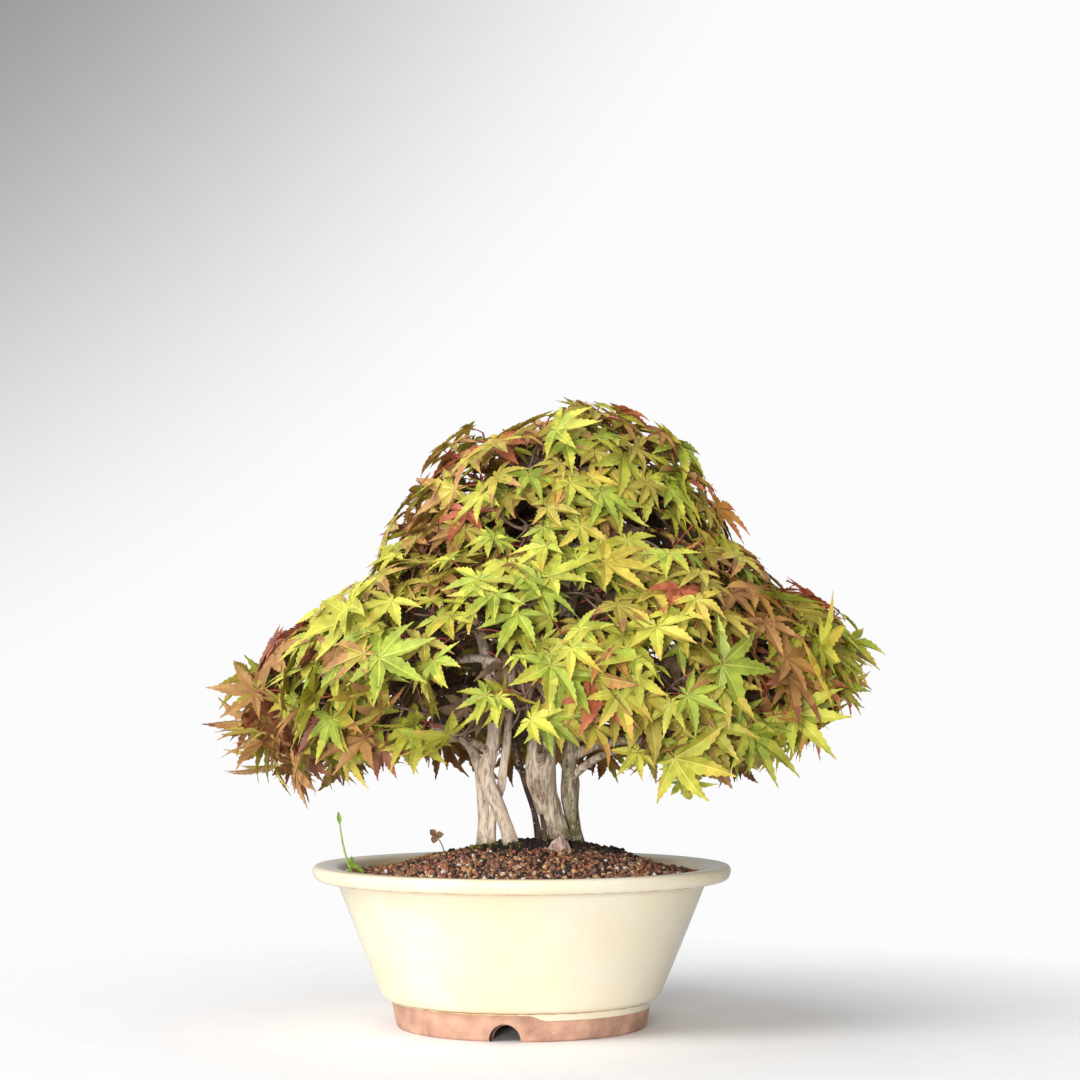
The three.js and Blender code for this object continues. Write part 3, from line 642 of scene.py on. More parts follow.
CRUMBS, CRUMB_PLACE, CRUMB_SPREAD = 900, (10, 0), (17, 10)
MOSS = [  # middle of each tuft, its spread and its number of blades
    (-19, -1, 3.2, 420), (-15, -4, 2.4, 200), (19, -6, 2.6, 260), (27, 0, 2.2, 160), (-48, 30, 9, 420),
    (-3, -13, 1.8, 120)]
BLADE_LEAN, BLADE_HALF_WIDTH, BLADE_HEIGHT = 0.35, 0.28, (1.0, 2.2)
crumbs = Heap()
for _ in range(CRUMBS):
    x, y = soil_random.normal(size=2) * CRUMB_SPREAD + CRUMB_PLACE
    shape = lump(soil_random, 0.4) @ random_turn(soil_random).T * soil_random.uniform(0.5, 1.7)
    crumbs.add(shape + on_soil(x, y, soil_random.uniform(-0.6, 1.2)), LUMP_FACES)
moss = Heap()
for x, y, spread, count in MOSS:
    for _ in range(count):
        root = on_soil(*(soil_random.normal(size=2) * spread + (x, y)), 0.2)
        lean = soil_random.normal(size=3) * BLADE_LEAN + (0, 0, 1)
        side = unit(np.cross(lean, soil_random.normal(size=3))) * BLADE_HALF_WIDTH
        tip = root + unit(lean) * soil_random.uniform(*BLADE_HEIGHT)
        moss.add([root - side, root + side, tip], [(0, 1, 2)])
for name, heap, light, dark in (("compost", crumbs, tint(62, 50, 46), tint(28, 22, 21)),
                                ("moss", moss, tint(176, 164, 62), tint(104, 106, 36))):
    soil_piece(name, heap, clouded("soil_" + name, 0.95, light, dark, 350, 0.0006, 0.6))

stone = Heap()
stone_shape = lump(soil_random, 0.3) * (6.6, 3.4, 6.4)
stone_shape[:, 0] *= 0.95 - 0.08 * stone_shape[:, 2]  # wide at the foot, narrow at the top
stone.add(stone_shape + on_soil(18, -22, 0.8), LUMP_FACES)
soil_piece("stone_chip", stone, clouded("chip_of_stone", 0.8, tint(248, 230, 216), tint(160, 112, 98), 420,
                                        0.0012, 0.8, (1, 1, 0.4)))

# %% [markdown]
# The seedlings are too small for a mesh of their own kind: a bent tube for the stalk and a few oval
# blades, folded along the middle so that they catch the light on one side.
# %% Plant the seedlings


def leaflet(base, way, facing, length, width):
    """A small oval blade folded along its middle: points and triangles."""
    way, side = unit(way), unit(np.cross(way, facing))
    facing = np.cross(side, way)
    reach = np.array([0, 0.25, 0.55, 0.8, 1.0])
    half = np.array([0.05, 0.8, 1.0, 0.6, 0.0])
    middle = base + np.outer(reach * length, way) - np.outer(reach**2 * length * 0.2, facing)
    edges = [middle + np.outer(half * width / 2 * hand, side) + np.outer(half * width * 0.12, facing)
             for hand in (-1, 1)]
    faces = []
    for k in range(4):
        for row, flip in ((5, False), (10, True)):
            quad = [(k, k + 1, row + k + 1), (k, row + k + 1, row + k)]
            faces.extend(f[::-1] if flip else f for f in quad)
    return np.concatenate([middle, *edges]), faces


sprout, clover = Heap(), Heap()
sprout_foot, sprout_top = on_soil(-79, -20, 0), np.array([-85.5, -20, 95.5])
sprout.add(*tube(bend(sprout_foot, sprout_top, (-0.5, 0, 1), 6), np.linspace(0.6, 0.35, 7), 6))
sprout.add(*leaflet(sprout_top, (-0.1, -0.1, 1), (0.3, -1, 0.2), 6.4, 2.3))
sprout.add(*leaflet(sprout_foot + (-2, 0, 6), (0.75, -0.2, -0.35), (0, -0.6, 1), 8.5, 3.2))
sprout.add(*leaflet(sprout_foot + (-1.2, 0, 4), (0.15, -0.5, 0.9), (0.4, -1, 0.2), 6.0, 2.6))
clover_foot, clover_top = on_soil(-38, 16, 0), on_soil(-42, 16, 9.5)
clover.add(*tube(bend(clover_foot, clover_top, (0, 0, 1), 5), np.linspace(0.35, 0.25, 6), 5))
for turn in (0.2, 2.3, 4.4):
    way = np.array([math.cos(turn), -0.3, math.sin(turn)])
    clover.add(*leaflet(clover_top, way, (0, -1, 0.3), 4.0, 3.6))
for name, heap, light, dark in (("sprout", sprout, tint(166, 194, 78), tint(108, 146, 52)),
                                ("clover", clover, tint(162, 122, 74), tint(108, 76, 46))):
    skin = clouded(name + "_skin", 0.55, light, dark, 400, 0.0003, 0.4)
    make_piece("seedling_" + name, *heap.arrays(), skin, "leaves_lime", ["soil"])

# %% [markdown]
# ## Stems: routes
# Six slim stems lean and cross on their way up, and a small root shows on the surface. A bonsai like
# this is grown as a clump. Each stem follows a few stations of x, y, height and radius, joined by the
# same smooth curve as in the solids: a Catmull-Rom curve whose knots are spaced by the root of the
# distance, which passes through every station and never loops. The front left stem is drawn up to 0.7 mm
# slimmer near its foot than its solid, which was made a little too stout there.
# %% Stations of the stems
SINK = 3.5  # a stem's flat foot lies this deep
STEMS = {  # x, y and radius of the foot, then the stations above the soil
    "stem_centre": ((18.2, 0.5, 6.4), [
        (17.2, 0, 91, 4.8), (14.7, -0.5, 98.8, 5), (11.2, -1, 107, 6.2), (9.2, -1.5, 116, 7.3),
        (9.2, -1, 127, 7.2), (11, 1, 142, 6.2), (15, 3, 165, 5), (22, 4, 200, 3.9), (28, 1, 235, 2.8),
        (30, 0, 254, 2)]),
    "stem_right": ((26.2, 6, 4.8), [
        (24.9, 6, 92, 3.5), (23.8, 6, 100.7, 3.5), (23, 6.5, 109, 4.3), (23.2, 7.5, 115, 4.2),
        (22.8, 10, 126, 3.3), (27, 10, 140, 3.1), (37, 7, 162, 2.7), (50, 1, 185, 2.2), (61, -7, 201, 1.7)]),
    "stem_front_left": ((-4.2, -8, 3.9), [
        (-7.9, -8, 95.3, 3.2), (-12.4, -8, 106.4, 3.4), (-16.3, -8, 115.2, 4.1), (-16.9, -8, 121.8, 4),
        (-14.8, -8, 129, 3.4), (-13.2, -8, 140, 3.1), (-14, -7, 158, 2.8), (-18, -6, 178, 2.4),
        (-25, -5, 197, 2), (-34, -4, 211, 1.6)]),
    "stem_rear_left": ((-18.9, 3.5, 3.6), [
        (-18.2, 3, 95.3, 2.8), (-18.6, 3, 104.2, 2.6), (-19.5, 4, 112, 2.5), (-21, 6, 122, 2.4),
        (-27, 8, 134, 2.3), (-40, 10, 141, 2), (-56, 12, 138, 1.6)]),
    "stem_slim": ((-14.8, -0.5, 2.4), [
        (-14.1, 0, 96.5, 1.9), (-12.3, 0, 105.4, 1.9), (-9.9, 0, 113, 2.1), (-8.7, 0, 123.3, 2),
        (-7.3, 1, 133, 2), (-6.5, 4, 145, 1.9), (-5, 12, 162, 1.8), (-3, 21, 184, 1.6), (-4, 31, 202, 1.3)]),
    "stem_shaded": ((8.9, 8, 2), [
        (5.9, 8, 100, 1.5), (3.1, 8, 109, 1.5), (0.6, 8, 117.4, 1.5), (-1.9, 9, 125.3, 1.6),
        (-4, 14, 135, 1.5), (-9, 32, 143, 1.4), (-20, 54, 140, 1.2)]),
    "surface_root": ((11.2, -5, 1.5), [(10.7, -4.8, 92, 1.2), (9.4, -3.6, 99.5, 0.9)]),
}


class Limb:
    """A smooth curve through stations, with a radius at any share of its way."""

    def __init__(self, places, radii):
        self.places = np.asarray(places, float)
        self.radii = np.asarray(radii, float)

    def at(self, share):
        """The point at a share of the way, counted in stations."""
        count = len(self.places)
        position = (count - 1) * min(max(share, 0.0), 1.0)
        low = min(int(position), count - 2)
        t = position - low
        p1, p2 = self.places[low], self.places[low + 1]
        p0 = self.places[low - 1] if low > 0 else 2 * p1 - p2
        p3 = self.places[low + 2] if low + 2 < count else 2 * p2 - p1
        d0, d1, d2 = (np.linalg.norm(b - a) ** 0.5 for a, b in ((p0, p1), (p1, p2), (p2, p3)))
        leave = ((p1 - p0) / d0 - (p2 - p0) / (d0 + d1) + (p2 - p1) / d1) * d1
        arrive = ((p2 - p1) / d1 - (p3 - p1) / (d1 + d2) + (p3 - p2) / d2) * d1
        c2 = -3 * p1 + 3 * p2 - 2 * leave - arrive
        c3 = 2 * p1 - 2 * p2 + leave + arrive
        return p1 + leave * t + c2 * t**2 + c3 * t**3

    def radius(self, share):
        """The radius at a share of the way."""
        return float(np.interp(share * (len(self.radii) - 1), range(len(self.radii)), self.radii))

    def end_way(self):
        """The direction in which the limb grows at its end."""
        return unit(self.at(1) - self.at(1 - 0.0005))


def stem_limb(name):
    """The limb of a stem, from its flat foot in the soil."""
    (x, y, radius), route = STEMS[name]
    stations = [(x, y, soil_height(x, y) - SINK, radius), *route]
    return Limb([s[:3] for s in stations], [s[3] for s in stations])


limbs = {name: stem_limb(name) for name in STEMS}
print("stems:", {name: round(float(limb.at(1)[2])) for name, limb in limbs.items()})

# %% [markdown]
# ## Masses of leaves
# Three rings of leaf masses make the crown: one at the top, five round the upper tier and seven round
# the lower one. Each mass hangs on the tip of a stem or on a bough of its own. The places follow from a
# few sizes: the height and reach of each ring, and how the crown leans to the right as it rises.
# %% Lay out the masses
RINGS = [  # height and reach, then each mass with what it hangs on and its bough's start and radius
    (282, 0, [("apex", "stem_centre", None, None)]),
    (215, 72, [
        ("upper_front", "stem_centre", 0.66, 2.2), ("upper_right", "stem_right", None, None),
        ("upper_back_right", "stem_centre", 0.6, 2.2), ("upper_back_left", "stem_slim", None, None),
        ("upper_left", "stem_front_left", None, None)]),
    (145, 112, [
        ("lower_front", "stem_centre", 0.45, 2.4), ("lower_right_front", "stem_right", 0.46, 2.2),
        ("lower_right", "stem_right", 0.56, 2.7), ("lower_right_back", "stem_right", 0.64, 2.2),
        ("lower_left_back", "stem_shaded", None, None), ("lower_left", "stem_rear_left", None, None),
        ("lower_left_front", "stem_front_left", 0.5, 2)]),
]
DEPTH_SHARE = 0.8
HEART_SHARE, HEART_DROP = 0.62, 14  # where in a mass its bough ends
BOUGH_RISE, BOUGH_TAPER = 12, (1, 0.82, 0.64, 0.5)


def crown_middle(z):
    """Where the crown's middle stands at a height: it leans to the right."""
    return 7 + 15 * float(smoothstep(z, 130, 205))


def bough_limb(stem, start_share, radius, centre):
    """A bough that leaves its stem, arches out and ends inside its mass."""
    middle = crown_middle(centre[2])
    heart = np.array([middle + (centre[0] - middle) * HEART_SHARE, centre[1] * HEART_SHARE,
                      centre[2] - HEART_DROP])
    start = stem.at(start_share)
    knee = start + (heart - start) * KNEE + (0, 0, BOUGH_RISE)
    return Limb(arc(start, knee, heart, 4), [radius * taper for taper in BOUGH_TAPER])


masses = {}
for z, reach, ring in RINGS:
    for i, (name, stem, start_share, radius) in enumerate(ring):
        bearing = math.radians(-90 + 360 * i / len(ring))
        centre = np.array([crown_middle(z) + reach * math.cos(bearing),
                           reach * DEPTH_SHARE * math.sin(bearing), z])
        limb = limbs[stem]
        if start_share is not None:
            limb = limbs["bough_" + name] = bough_limb(limbs[stem], start_share, radius, centre)
        masses[name] = {"centre": centre, "limb": limb, "sites": []}
print("masses:", len(masses), "limbs:", len(limbs))

# %% [markdown]
# ## Bark: shape
# Old maple bark is tight and smooth, with long shallow ribs that wind a little round the stem, small
# swellings where twigs were cut, and a foot that widens into its roots. A fine tube follows each limb,
# and its radius gets the ribs, the swellings and the flare, so the light finds real relief.
# %% Build the limbs
STEM_BARK = (32, 1.3, 0.16, 0.22)  # sides, millimetres from ring to ring, relief, and flare of the foot
BOUGH_BARK = (16, 1.6, 0.14, 0.0)
RIBS, RIB_TWIST, RIB_RISE = 2.4, 0.035, 0.05
KNOTS, KNOT_RISE = 0.8, 0.16
FLARE_HEIGHT = 4.5
FINE = np.linspace(0, 1, 200)


def noise_round(turn, size, height):
    """Noise at a place round a limb, which closes on itself."""
    return noise.noise(Vector((math.cos(turn) * size, math.sin(turn) * size, height)))


def bark_tube(limb, sides, step, relief, flare, seed):
    """Corners and triangles of a limb with ribbed bark."""
    along = lengths_along([limb.at(share) for share in FINE])
    steps = max(6, int(along[-1] / step))
    shares = np.interp(np.linspace(0, along[-1], steps + 1), along, FINE)
    reaches = []
    for share in shares:
        far = np.interp(share, FINE, along)
        column = []
        for turn in circle(sides):
            rib = noise_round(turn + far * RIB_TWIST, RIBS, far * RIB_RISE + seed)
            knot = noise_round(turn, KNOTS, far * KNOT_RISE + seed + 9)
            foot_swell = flare * math.exp(-far / FLARE_HEIGHT) * (1 + 0.6 * math.sin(3 * turn + seed))
            column.append(limb.radius(share) * (1 + relief * rib + 0.5 * relief * knot + foot_swell))
        reaches.append(np.array(column)[:, None])
    line = np.array([limb.at(share) for share in shares])
    return sweep(line, reaches, sides, np.array([1.0, 0, 0]), limb.radius(1) * 0.6)


bark_meshes = {}
for i, (name, limb) in enumerate(limbs.items()):
    sizes, seed_step = (STEM_BARK, 3.1) if name in STEMS else (BOUGH_BARK, 5.3)
    bark_meshes[name] = bark_tube(limb, *sizes, seed_step * i)
print("corners on the thickest stem:", len(bark_meshes["stem_centre"][0]))

# %% [markdown]
# ## Bark: finish
# The slim stems on the left are pale cream, the thick one greyish with pinkish streaks, the right one a
# mossy grey, and the stem in the shade is painted dark brown for its shade, a tint that the small root
# wears as its own colour. It is one finish made with different tints: clouds drawn out along the stem
# for the streaks, dots for the lenticels, and moss that fades out above the soil.
# %% Bark in four tints
DOT_TINT = tint(226, 208, 184)
MOSS_TINTS = tint(120, 112, 48), tint(52, 44, 26)
MOSS_FADE = (0.006, 0.004)  # metres below and above its top


def bark_finish(name, light, dark, moss_top):
    """Bark with streaks, lenticels, and moss up to a height in metres."""
    bark = Finish(name, Roughness=0.8)
    streaks = bark.clouds(light, dark, 420, (1, 1, 0.16))
    dots = bark.specks(420, 0.16, (1, 1, 1.6))
    grime = bark.clouds(*MOSS_TINTS, 300)
    cracks = span(bark.tree, bark.clouds(light, dark, 640, (1, 1, 0.3))["Height"], 0.53, 0.68)
    crack_tint = tuple(0.5 * part for part in dark[:3]) + (1.0,)
    colour = bark.mixed(dots, bark.mixed(cracks, streaks["Colour"], crack_tint), DOT_TINT)
    place = add_node(bark.tree, "TexCoord")["Object"]
    height = add_node(bark.tree, "SeparateXYZ", {"Vector": place})["Z"]
    low = span(bark.tree, height, moss_top - MOSS_FADE[0], moss_top + MOSS_FADE[1], 1.0, 0.0)
    patches = span(bark.tree, grime["Height"], 0.42, 0.55)
    mossy = add_node(bark.tree, "Math", {0: low, 1: patches}, operation="MULTIPLY")["Value"]
    bark.wear(bark.mixed(mossy, colour, grime["Colour"]))
    bark.relief(streaks["Height"], 0.0012, 0.7)
    bark.relief(cracks, -0.0005, 0.8)
    bark.relief(dots, 0.0002, 0.4)
    return bark.material


pale_bark = bark_finish("bark_pale", tint(255, 240, 217), tint(236, 208, 179), 0.089)
grey_bark = bark_finish("bark_grey", tint(247, 230, 203), tint(164, 137, 113), 0.092)
mossy_bark = bark_finish("bark_mossy", tint(216, 200, 168), tint(126, 108, 86), 0.100)
# dark brown: the small root's own colour, and painted shade on the stem that stands in the shade
dark_bark_and_painted_shade = bark_finish("bark_dark_and_painted_shade", tint(120, 92, 72), tint(60, 46, 40), 0.092)
BARKS = {
    "stem_right": mossy_bark, "stem_front_left": pale_bark, "stem_rear_left": pale_bark,
    "stem_slim": pale_bark, "stem_shaded": dark_bark_and_painted_shade, "surface_root": dark_bark_and_painted_shade,
}
for name, (points, faces) in bark_meshes.items():
    piece_name = name.replace("stem", "trunk") if name in STEMS else name + "_bark"
    make_piece(piece_name, points, faces, BARKS.get(name, grey_bark), "bark", [name])

# %% [markdown]
# One old bough crosses in front of the thick stem, halfway up, and shows through a gap in the leaves.
# The solids leave it out, since the leaf masses cover all but a few centimetres of it.
# %% Add the crossing bough
CROSSING = Limb(
    [(14, 1, 166), (6, -9, 172), (-8, -17, 171), (-22, -21, 174), (-38, -26, 170), (-50, -32, 160)],
    [2.4, 2.3, 2.3, 1.9, 1.5, 0.9])
make_piece("bough_crossing_bark", *bark_tube(CROSSING, 16, 1.2, 0.2, 0.0, 2.7), pale_bark, "bark",
           ["stem_centre"])

# %% [markdown]
# ## Sprays: where they stand
# The crown is a shell of leaf sprays. Its side is a line of half widths and heights from the top down,
# turned round the leaning middle. Sprays stand on it by the golden angle, as seeds do in a sunflower,
# which spreads them evenly without rows. A small generator of numbers with a fixed seed, the one that
# the solids use, gives each the same place here as there.
# %% Spread the sprays
CROWN_SIDE = [(0, 286), (30, 281), (52, 268), (66, 249), (75, 228), (97, 207), (120, 189), (132, 171),
              (132, 153), (114, 137)]
SPRAYS = 190
GOLDEN_ANGLE = math.pi * (3 - math.sqrt(5))
SHELL_DEPTH, SHELL_JITTER = 9, 6


def seeded(state):
    """A generator function of numbers from 0 to 1 that gives the same row on every computer."""
    def step():
        nonlocal state
        state = (state + 0x6D2B79F5) & 0xFFFFFFFF
        t = ((state ^ (state >> 15)) * (state | 1)) & 0xFFFFFFFF
        t = ((t + (((t ^ (t >> 7)) * (t | 61)) & 0xFFFFFFFF)) ^ t) & 0xFFFFFFFF
        return (t ^ (t >> 14)) / 4294967296
    return step


def crown_side_line(steps):
    """The crown's side as evenly spaced points of half width and height, with its directions."""
    knots = np.array(CROWN_SIDE, float)
    count = len(knots)
    line = []
    for position in np.linspace(0, count - 1, steps * 10 + 1):
        low = min(int(position), count - 2)
        t = position - low
        p0, p1, p2, p3 = (knots[min(max(low + k, 0), count - 1)] for k in (-1, 0, 1, 2))
        v0, v1 = (p2 - p0) / 2, (p3 - p1) / 2
        bend_by = -3 * p1 + 3 * p2 - 2 * v0 - v1
        line.append((2 * p1 - 2 * p2 + v0 + v1) * t**3 + bend_by * t**2 + v0 * t + p1)
    line = np.array(line)
    far = lengths_along(line)
    even = np.linspace(0, far[-1], steps + 1)
    spaced = np.column_stack([np.interp(even, far, line[:, k]) for k in (0, 1)])
    ways = np.gradient(spaced, axis=0)
    return spaced, ways / np.linalg.norm(ways, axis=1)[:, None]


def spray_sites(random):
    """Places on the crown's shell, each with the direction that it faces."""
    side, ways = crown_side_line(400)
    sums = np.concatenate([[0], np.cumsum(side[1:, 0])])
    sites = []
    for n in range(SPRAYS):
        at = int(np.argmax(sums >= (n + 0.5) / SPRAYS * sums[-1]))
        (width, z), (out, down) = side[at], ways[at]
        turn = n * GOLDEN_ANGLE + 0.5 * random()
        face = unit((-down * math.cos(turn), -down * math.sin(turn), out))
        inner = width - SHELL_DEPTH * random()
        place = np.array([crown_middle(z) + inner * math.cos(turn), inner * DEPTH_SHARE * math.sin(turn),
                          z + SHELL_JITTER * (random() - 0.5)])
        sites.append((place, face))
    return sites


for place, face in spray_sites(seeded(7)):
    nearest = min(masses.values(), key=lambda mass: np.linalg.norm(place - mass["centre"]))
    nearest["sites"].append((place, face))
print("sprays by mass:", {name: len(mass["sites"]) for name, mass in masses.items()})

# %% [markdown]
# ## Twigs
# Twigs fork from the end of a bough by one rule: each leads to a group of sprays, goes half of the way
# to their middle, and splits the group in two across its widest direction, until one spray is left.
# Here each last twig forks once more, finer than in the solids, into twiglets that carry a pair of leaves.
# %% Grow the twigs
twig_random = np.random.default_rng(23)
TWIG_RADII = {"root": 1.5, "least": 0.75, "twiglet": 0.5}
TWIG_TAPER, TWIG_STRAY = 0.86, 1.8
FORK_REACH, LAST_REACH = 0.5, 0.8  # shares of the way to a group's middle, and to a single spray
twigs = Heap()
sprays = []


def grow(place, way, group, radius, mass):
    """Forks twigs from a place towards a group of sites, and notes the spray at the end of each."""
    middle = np.mean([site for site, _ in group], axis=0)
    single = len(group) == 1
    reach = (middle - place) * (LAST_REACH if single else FORK_REACH)
    end = place + reach + twig_random.normal(size=3) * TWIG_STRAY
    thin = max(radius * TWIG_TAPER, TWIG_RADII["least"])
    line = bend(place, end, way, 4, sag=-1.0)
    twigs.add(*tube(line, np.linspace(radius, thin, 5), 5))
    onward = unit(line[-1] - line[-2])
    if single:
        sprays.append((end, onward, *group[0], thin, mass))
        return
    spread = np.ptp([site for site, _ in group], axis=0)
    ordered = sorted(group, key=lambda site: site[0][int(np.argmax(spread))])
    half = (len(ordered) + 1) // 2
    for part in (ordered[:half], ordered[half:]):
        grow(end, onward, part, thin, mass)


for name, mass in masses.items():
    grow(mass["limb"].at(1), mass["limb"].end_way(), mass["sites"], TWIG_RADII["root"], name)
print("sprays:", len(sprays), "corners of twigs:", twigs.count)

# %% [markdown]
# ## One leaf
# A Japanese maple leaf is a hand: five long lobes and two small ones at the stalk, each a drawn-out
# lance with teeth along both edges and a pale vein down its middle. Each half of a lobe is built alone:
# points along the vein, the notch to its neighbour, then a tooth and a valley for each step to the tip.
# The blade folds up on both sides of a vein, so the two halves catch the light differently. Every face
# remembers how far out it lies, because autumn works its way in from the tips.
# %% Draw half a lobe
LOBES = [(0, 1.0, 0.11), (45, 0.93, 0.105), (93, 0.7, 0.082), (138, 0.28, 0.04)]  # angle, length, half width
NOTCHES = [(22.5, 0.32), (68, 0.26), (116, 0.15), (166, 0.05)]  # angle, distance from the stalk
STEPS = [0.33, 0.47, 0.61, 0.74, 0.87, 1.0]
WIDTHS = [0.9, 1.0, 0.84, 0.55, 0.22, 0.0]
TOOTH, TOOTH_PLACE = 0.0544, (0.5, 0.68)
VEIN = 0.008


def lobe_half(lobe, notch, hand, random):
    """Points of [x, y, away from the vein, reach], triangles with their reach, and the vein's points."""
    angle, length, half_width, sway = lobe
    points, faces, reaches = [], [], []

    def point(reach, out):
        """A point at a reach along the vein and a distance out from it."""
        turn = math.radians(angle + sway * reach**2)
        along, across = reach * length, hand * out
        x = along * math.sin(turn) + across * math.cos(turn)
        y = along * math.cos(turn) - across * math.sin(turn)
        points.append((x, y, out, reach))
        return len(points) - 1

    def face(a, b, c, reach):
        faces.append((a, b, c) if hand < 0 else (a, c, b))
        reaches.append(reach * length)

    vein = [point(reach, VEIN * (1 - 0.8 * reach) * (0.4 + 0.6 * length))
            for reach in [0.0, *STEPS[:-1]]]
    vein.append(point(1.0, 0.0))
    gap = math.radians(abs(notch[0] - abs(angle)))
    edge = point(notch[1] * math.cos(gap) / length, notch[1] * math.sin(gap))
    face(vein[0], edge, vein[1], 0.25)
    for i in range(1, len(STEPS)):
        share = random.uniform(*TOOTH_PLACE)
        reach = STEPS[i - 1] + share * (STEPS[i] - STEPS[i - 1])
        wide = half_width * (WIDTHS[i - 1] + share * (WIDTHS[i] - WIDTHS[i - 1]))
        tooth = point(reach, wide + TOOTH * (0.35 + 0.65 * length) * (1.15 - reach))
        face(vein[i], edge, tooth, reach)
        if i < len(STEPS) - 1:
            valley = point(STEPS[i], half_width * WIDTHS[i])
            face(vein[i], tooth, valley, reach)
            face(vein[i], valley, vein[i + 1], reach)
            edge = valley
        else:
            face(vein[i], tooth, vein[i + 1], 1.0)
    return points, faces, reaches, vein


print("lobes:", 2 * len(LOBES) - 1, "teeth on each side of a lobe:", len(STEPS) - 1)

# %% [markdown]
# Both halves of all seven lobes, and the veins between them, make a flat leaf one unit long. No two
# leaves on a tree are alike, so sixteen patterns are drawn with lobes swung, bent and stretched at
# random, and each lobe gets its own share of the droop.
# %% Draw sixteen patterns
SWING, CURVE = 5, 9  # degrees either way
STRETCH, BREADTH, HANG = (0.88, 1.1), (0.88, 1.12), (0.4, 1.7)


def leaf_pattern(random):
    """A flat leaf: points, blade triangles, vein triangles, and the reach and unevenness of each face."""
    points, blade, ribs, reaches, halves = [], [], [], [], []
    for k, (angle, length, half_width) in enumerate(LOBES):
        for side in ((1,) if k == 0 else (1, -1)):
            lobe = (angle + random.uniform(-SWING, SWING) * (k > 0), length * random.uniform(*STRETCH),
                    half_width * random.uniform(*BREADTH), random.uniform(-CURVE, CURVE))
            inner = NOTCHES[k - 1] if k else (-NOTCHES[0][0], NOTCHES[0][1])
            hang = random.uniform(*HANG)
            veins_of_halves = []
            for notch, hand in ((NOTCHES[k], 1), (inner, -1)):
                new_points, new_faces, new_reaches, vein = lobe_half(lobe, notch, hand, random)
                start = len(points)
                points.extend((x * side, y, out, reach, hang) for x, y, out, reach in new_points)
                turned_faces = new_faces if side > 0 else [face[::-1] for face in new_faces]
                blade.extend(tuple(start + i for i in face) for face in turned_faces)
                reaches.extend(new_reaches)
                halves.extend([random.normal()] * len(new_faces))
                veins_of_halves.append([start + i for i in vein])
            right, left = veins_of_halves
            for a, b, c, d in zip(right, right[1:], left[1:], left):
                ribs.extend(((c, b, a), (d, c, a)) if side > 0 else ((a, b, c), (a, c, d)))
    return np.array(points, float), np.array(blade), np.array(ribs), np.array(reaches), np.array(halves)


leaf_random = np.random.default_rng(31)
PATTERNS = [leaf_pattern(leaf_random) for _ in range(16)]
print("triangles in a leaf:", len(PATTERNS[0][1]) + len(PATTERNS[0][2]))

# %% [markdown]
# ## Tints
# In early autumn the leaves of one tree stand at every stage. Leaves in the light go from green through
# lime, gold and amber to orange and crimson; those on the rim go from olive through bronze to russet.
# A pattern of noise could not put a colour where a season puts it, so each tint is a plain finish of
# its own. A mood says which row of tints a spray follows, how far along it is, and how much further its
# tips have gone; moods are dealt out spray by spray.
# %% Tints and moods
TINTS = {  # light tint, dark tint and the record's slot
    "green": (tint(172, 186, 66), tint(130, 142, 50), "leaves_lime"),
    "lime": (tint(200, 198, 76), tint(158, 156, 54), "leaves_lime"),
    "gold": (tint(208, 188, 78), tint(174, 152, 54), "leaves_gold"),
    "amber": (tint(204, 154, 78), tint(170, 114, 56), "leaves_gold"),
    "orange": (tint(204, 122, 84), tint(166, 86, 60), "leaves_orange"),
    "crimson": (tint(186, 88, 74), tint(144, 62, 54), "leaves_orange"),
    "olive": (tint(192, 176, 76), tint(150, 134, 54), "leaves_olive"),
    "bronze": (tint(184, 138, 80), tint(144, 102, 60), "leaves_olive"),
    "russet": (tint(166, 104, 78), tint(122, 74, 56), "leaves_russet"),
    # the shade tint is painted shade: a darker brown for the leaves deep inside the crown
    "shade": (tint(132, 108, 78), tint(90, 72, 58), "leaves_russet"),
}
BRIGHT_ROW = ["green", "lime", "gold", "amber", "orange", "crimson"]
RIM_ROW = ["olive", "bronze", "russet", "crimson"]
MOODS = {  # row of tints, first and last stage of the leaf's middle, and most stages more at the tips
    "fresh": (BRIGHT_ROW, (0.2, 1.1), 1.1),
    "lime": (BRIGHT_ROW, (0.6, 1.8), 1.8),
    "golden": (BRIGHT_ROW, (1.4, 2.7), 2.0),
    "fiery": (BRIGHT_ROW, (3.0, 4.8), 1.2),
    "olive": (RIM_ROW, (0.0, 0.95), 1.9),
    "bronze": (RIM_ROW, (0.6, 1.8), 1.5),
    "russet": (RIM_ROW, (1.5, 2.7), 0.9),
    # painted shade: the inner leaves wear the shade tint, with russet at some tips
    "shade": (["shade", "russet"], (0.0, 0.9), 0.4),
}
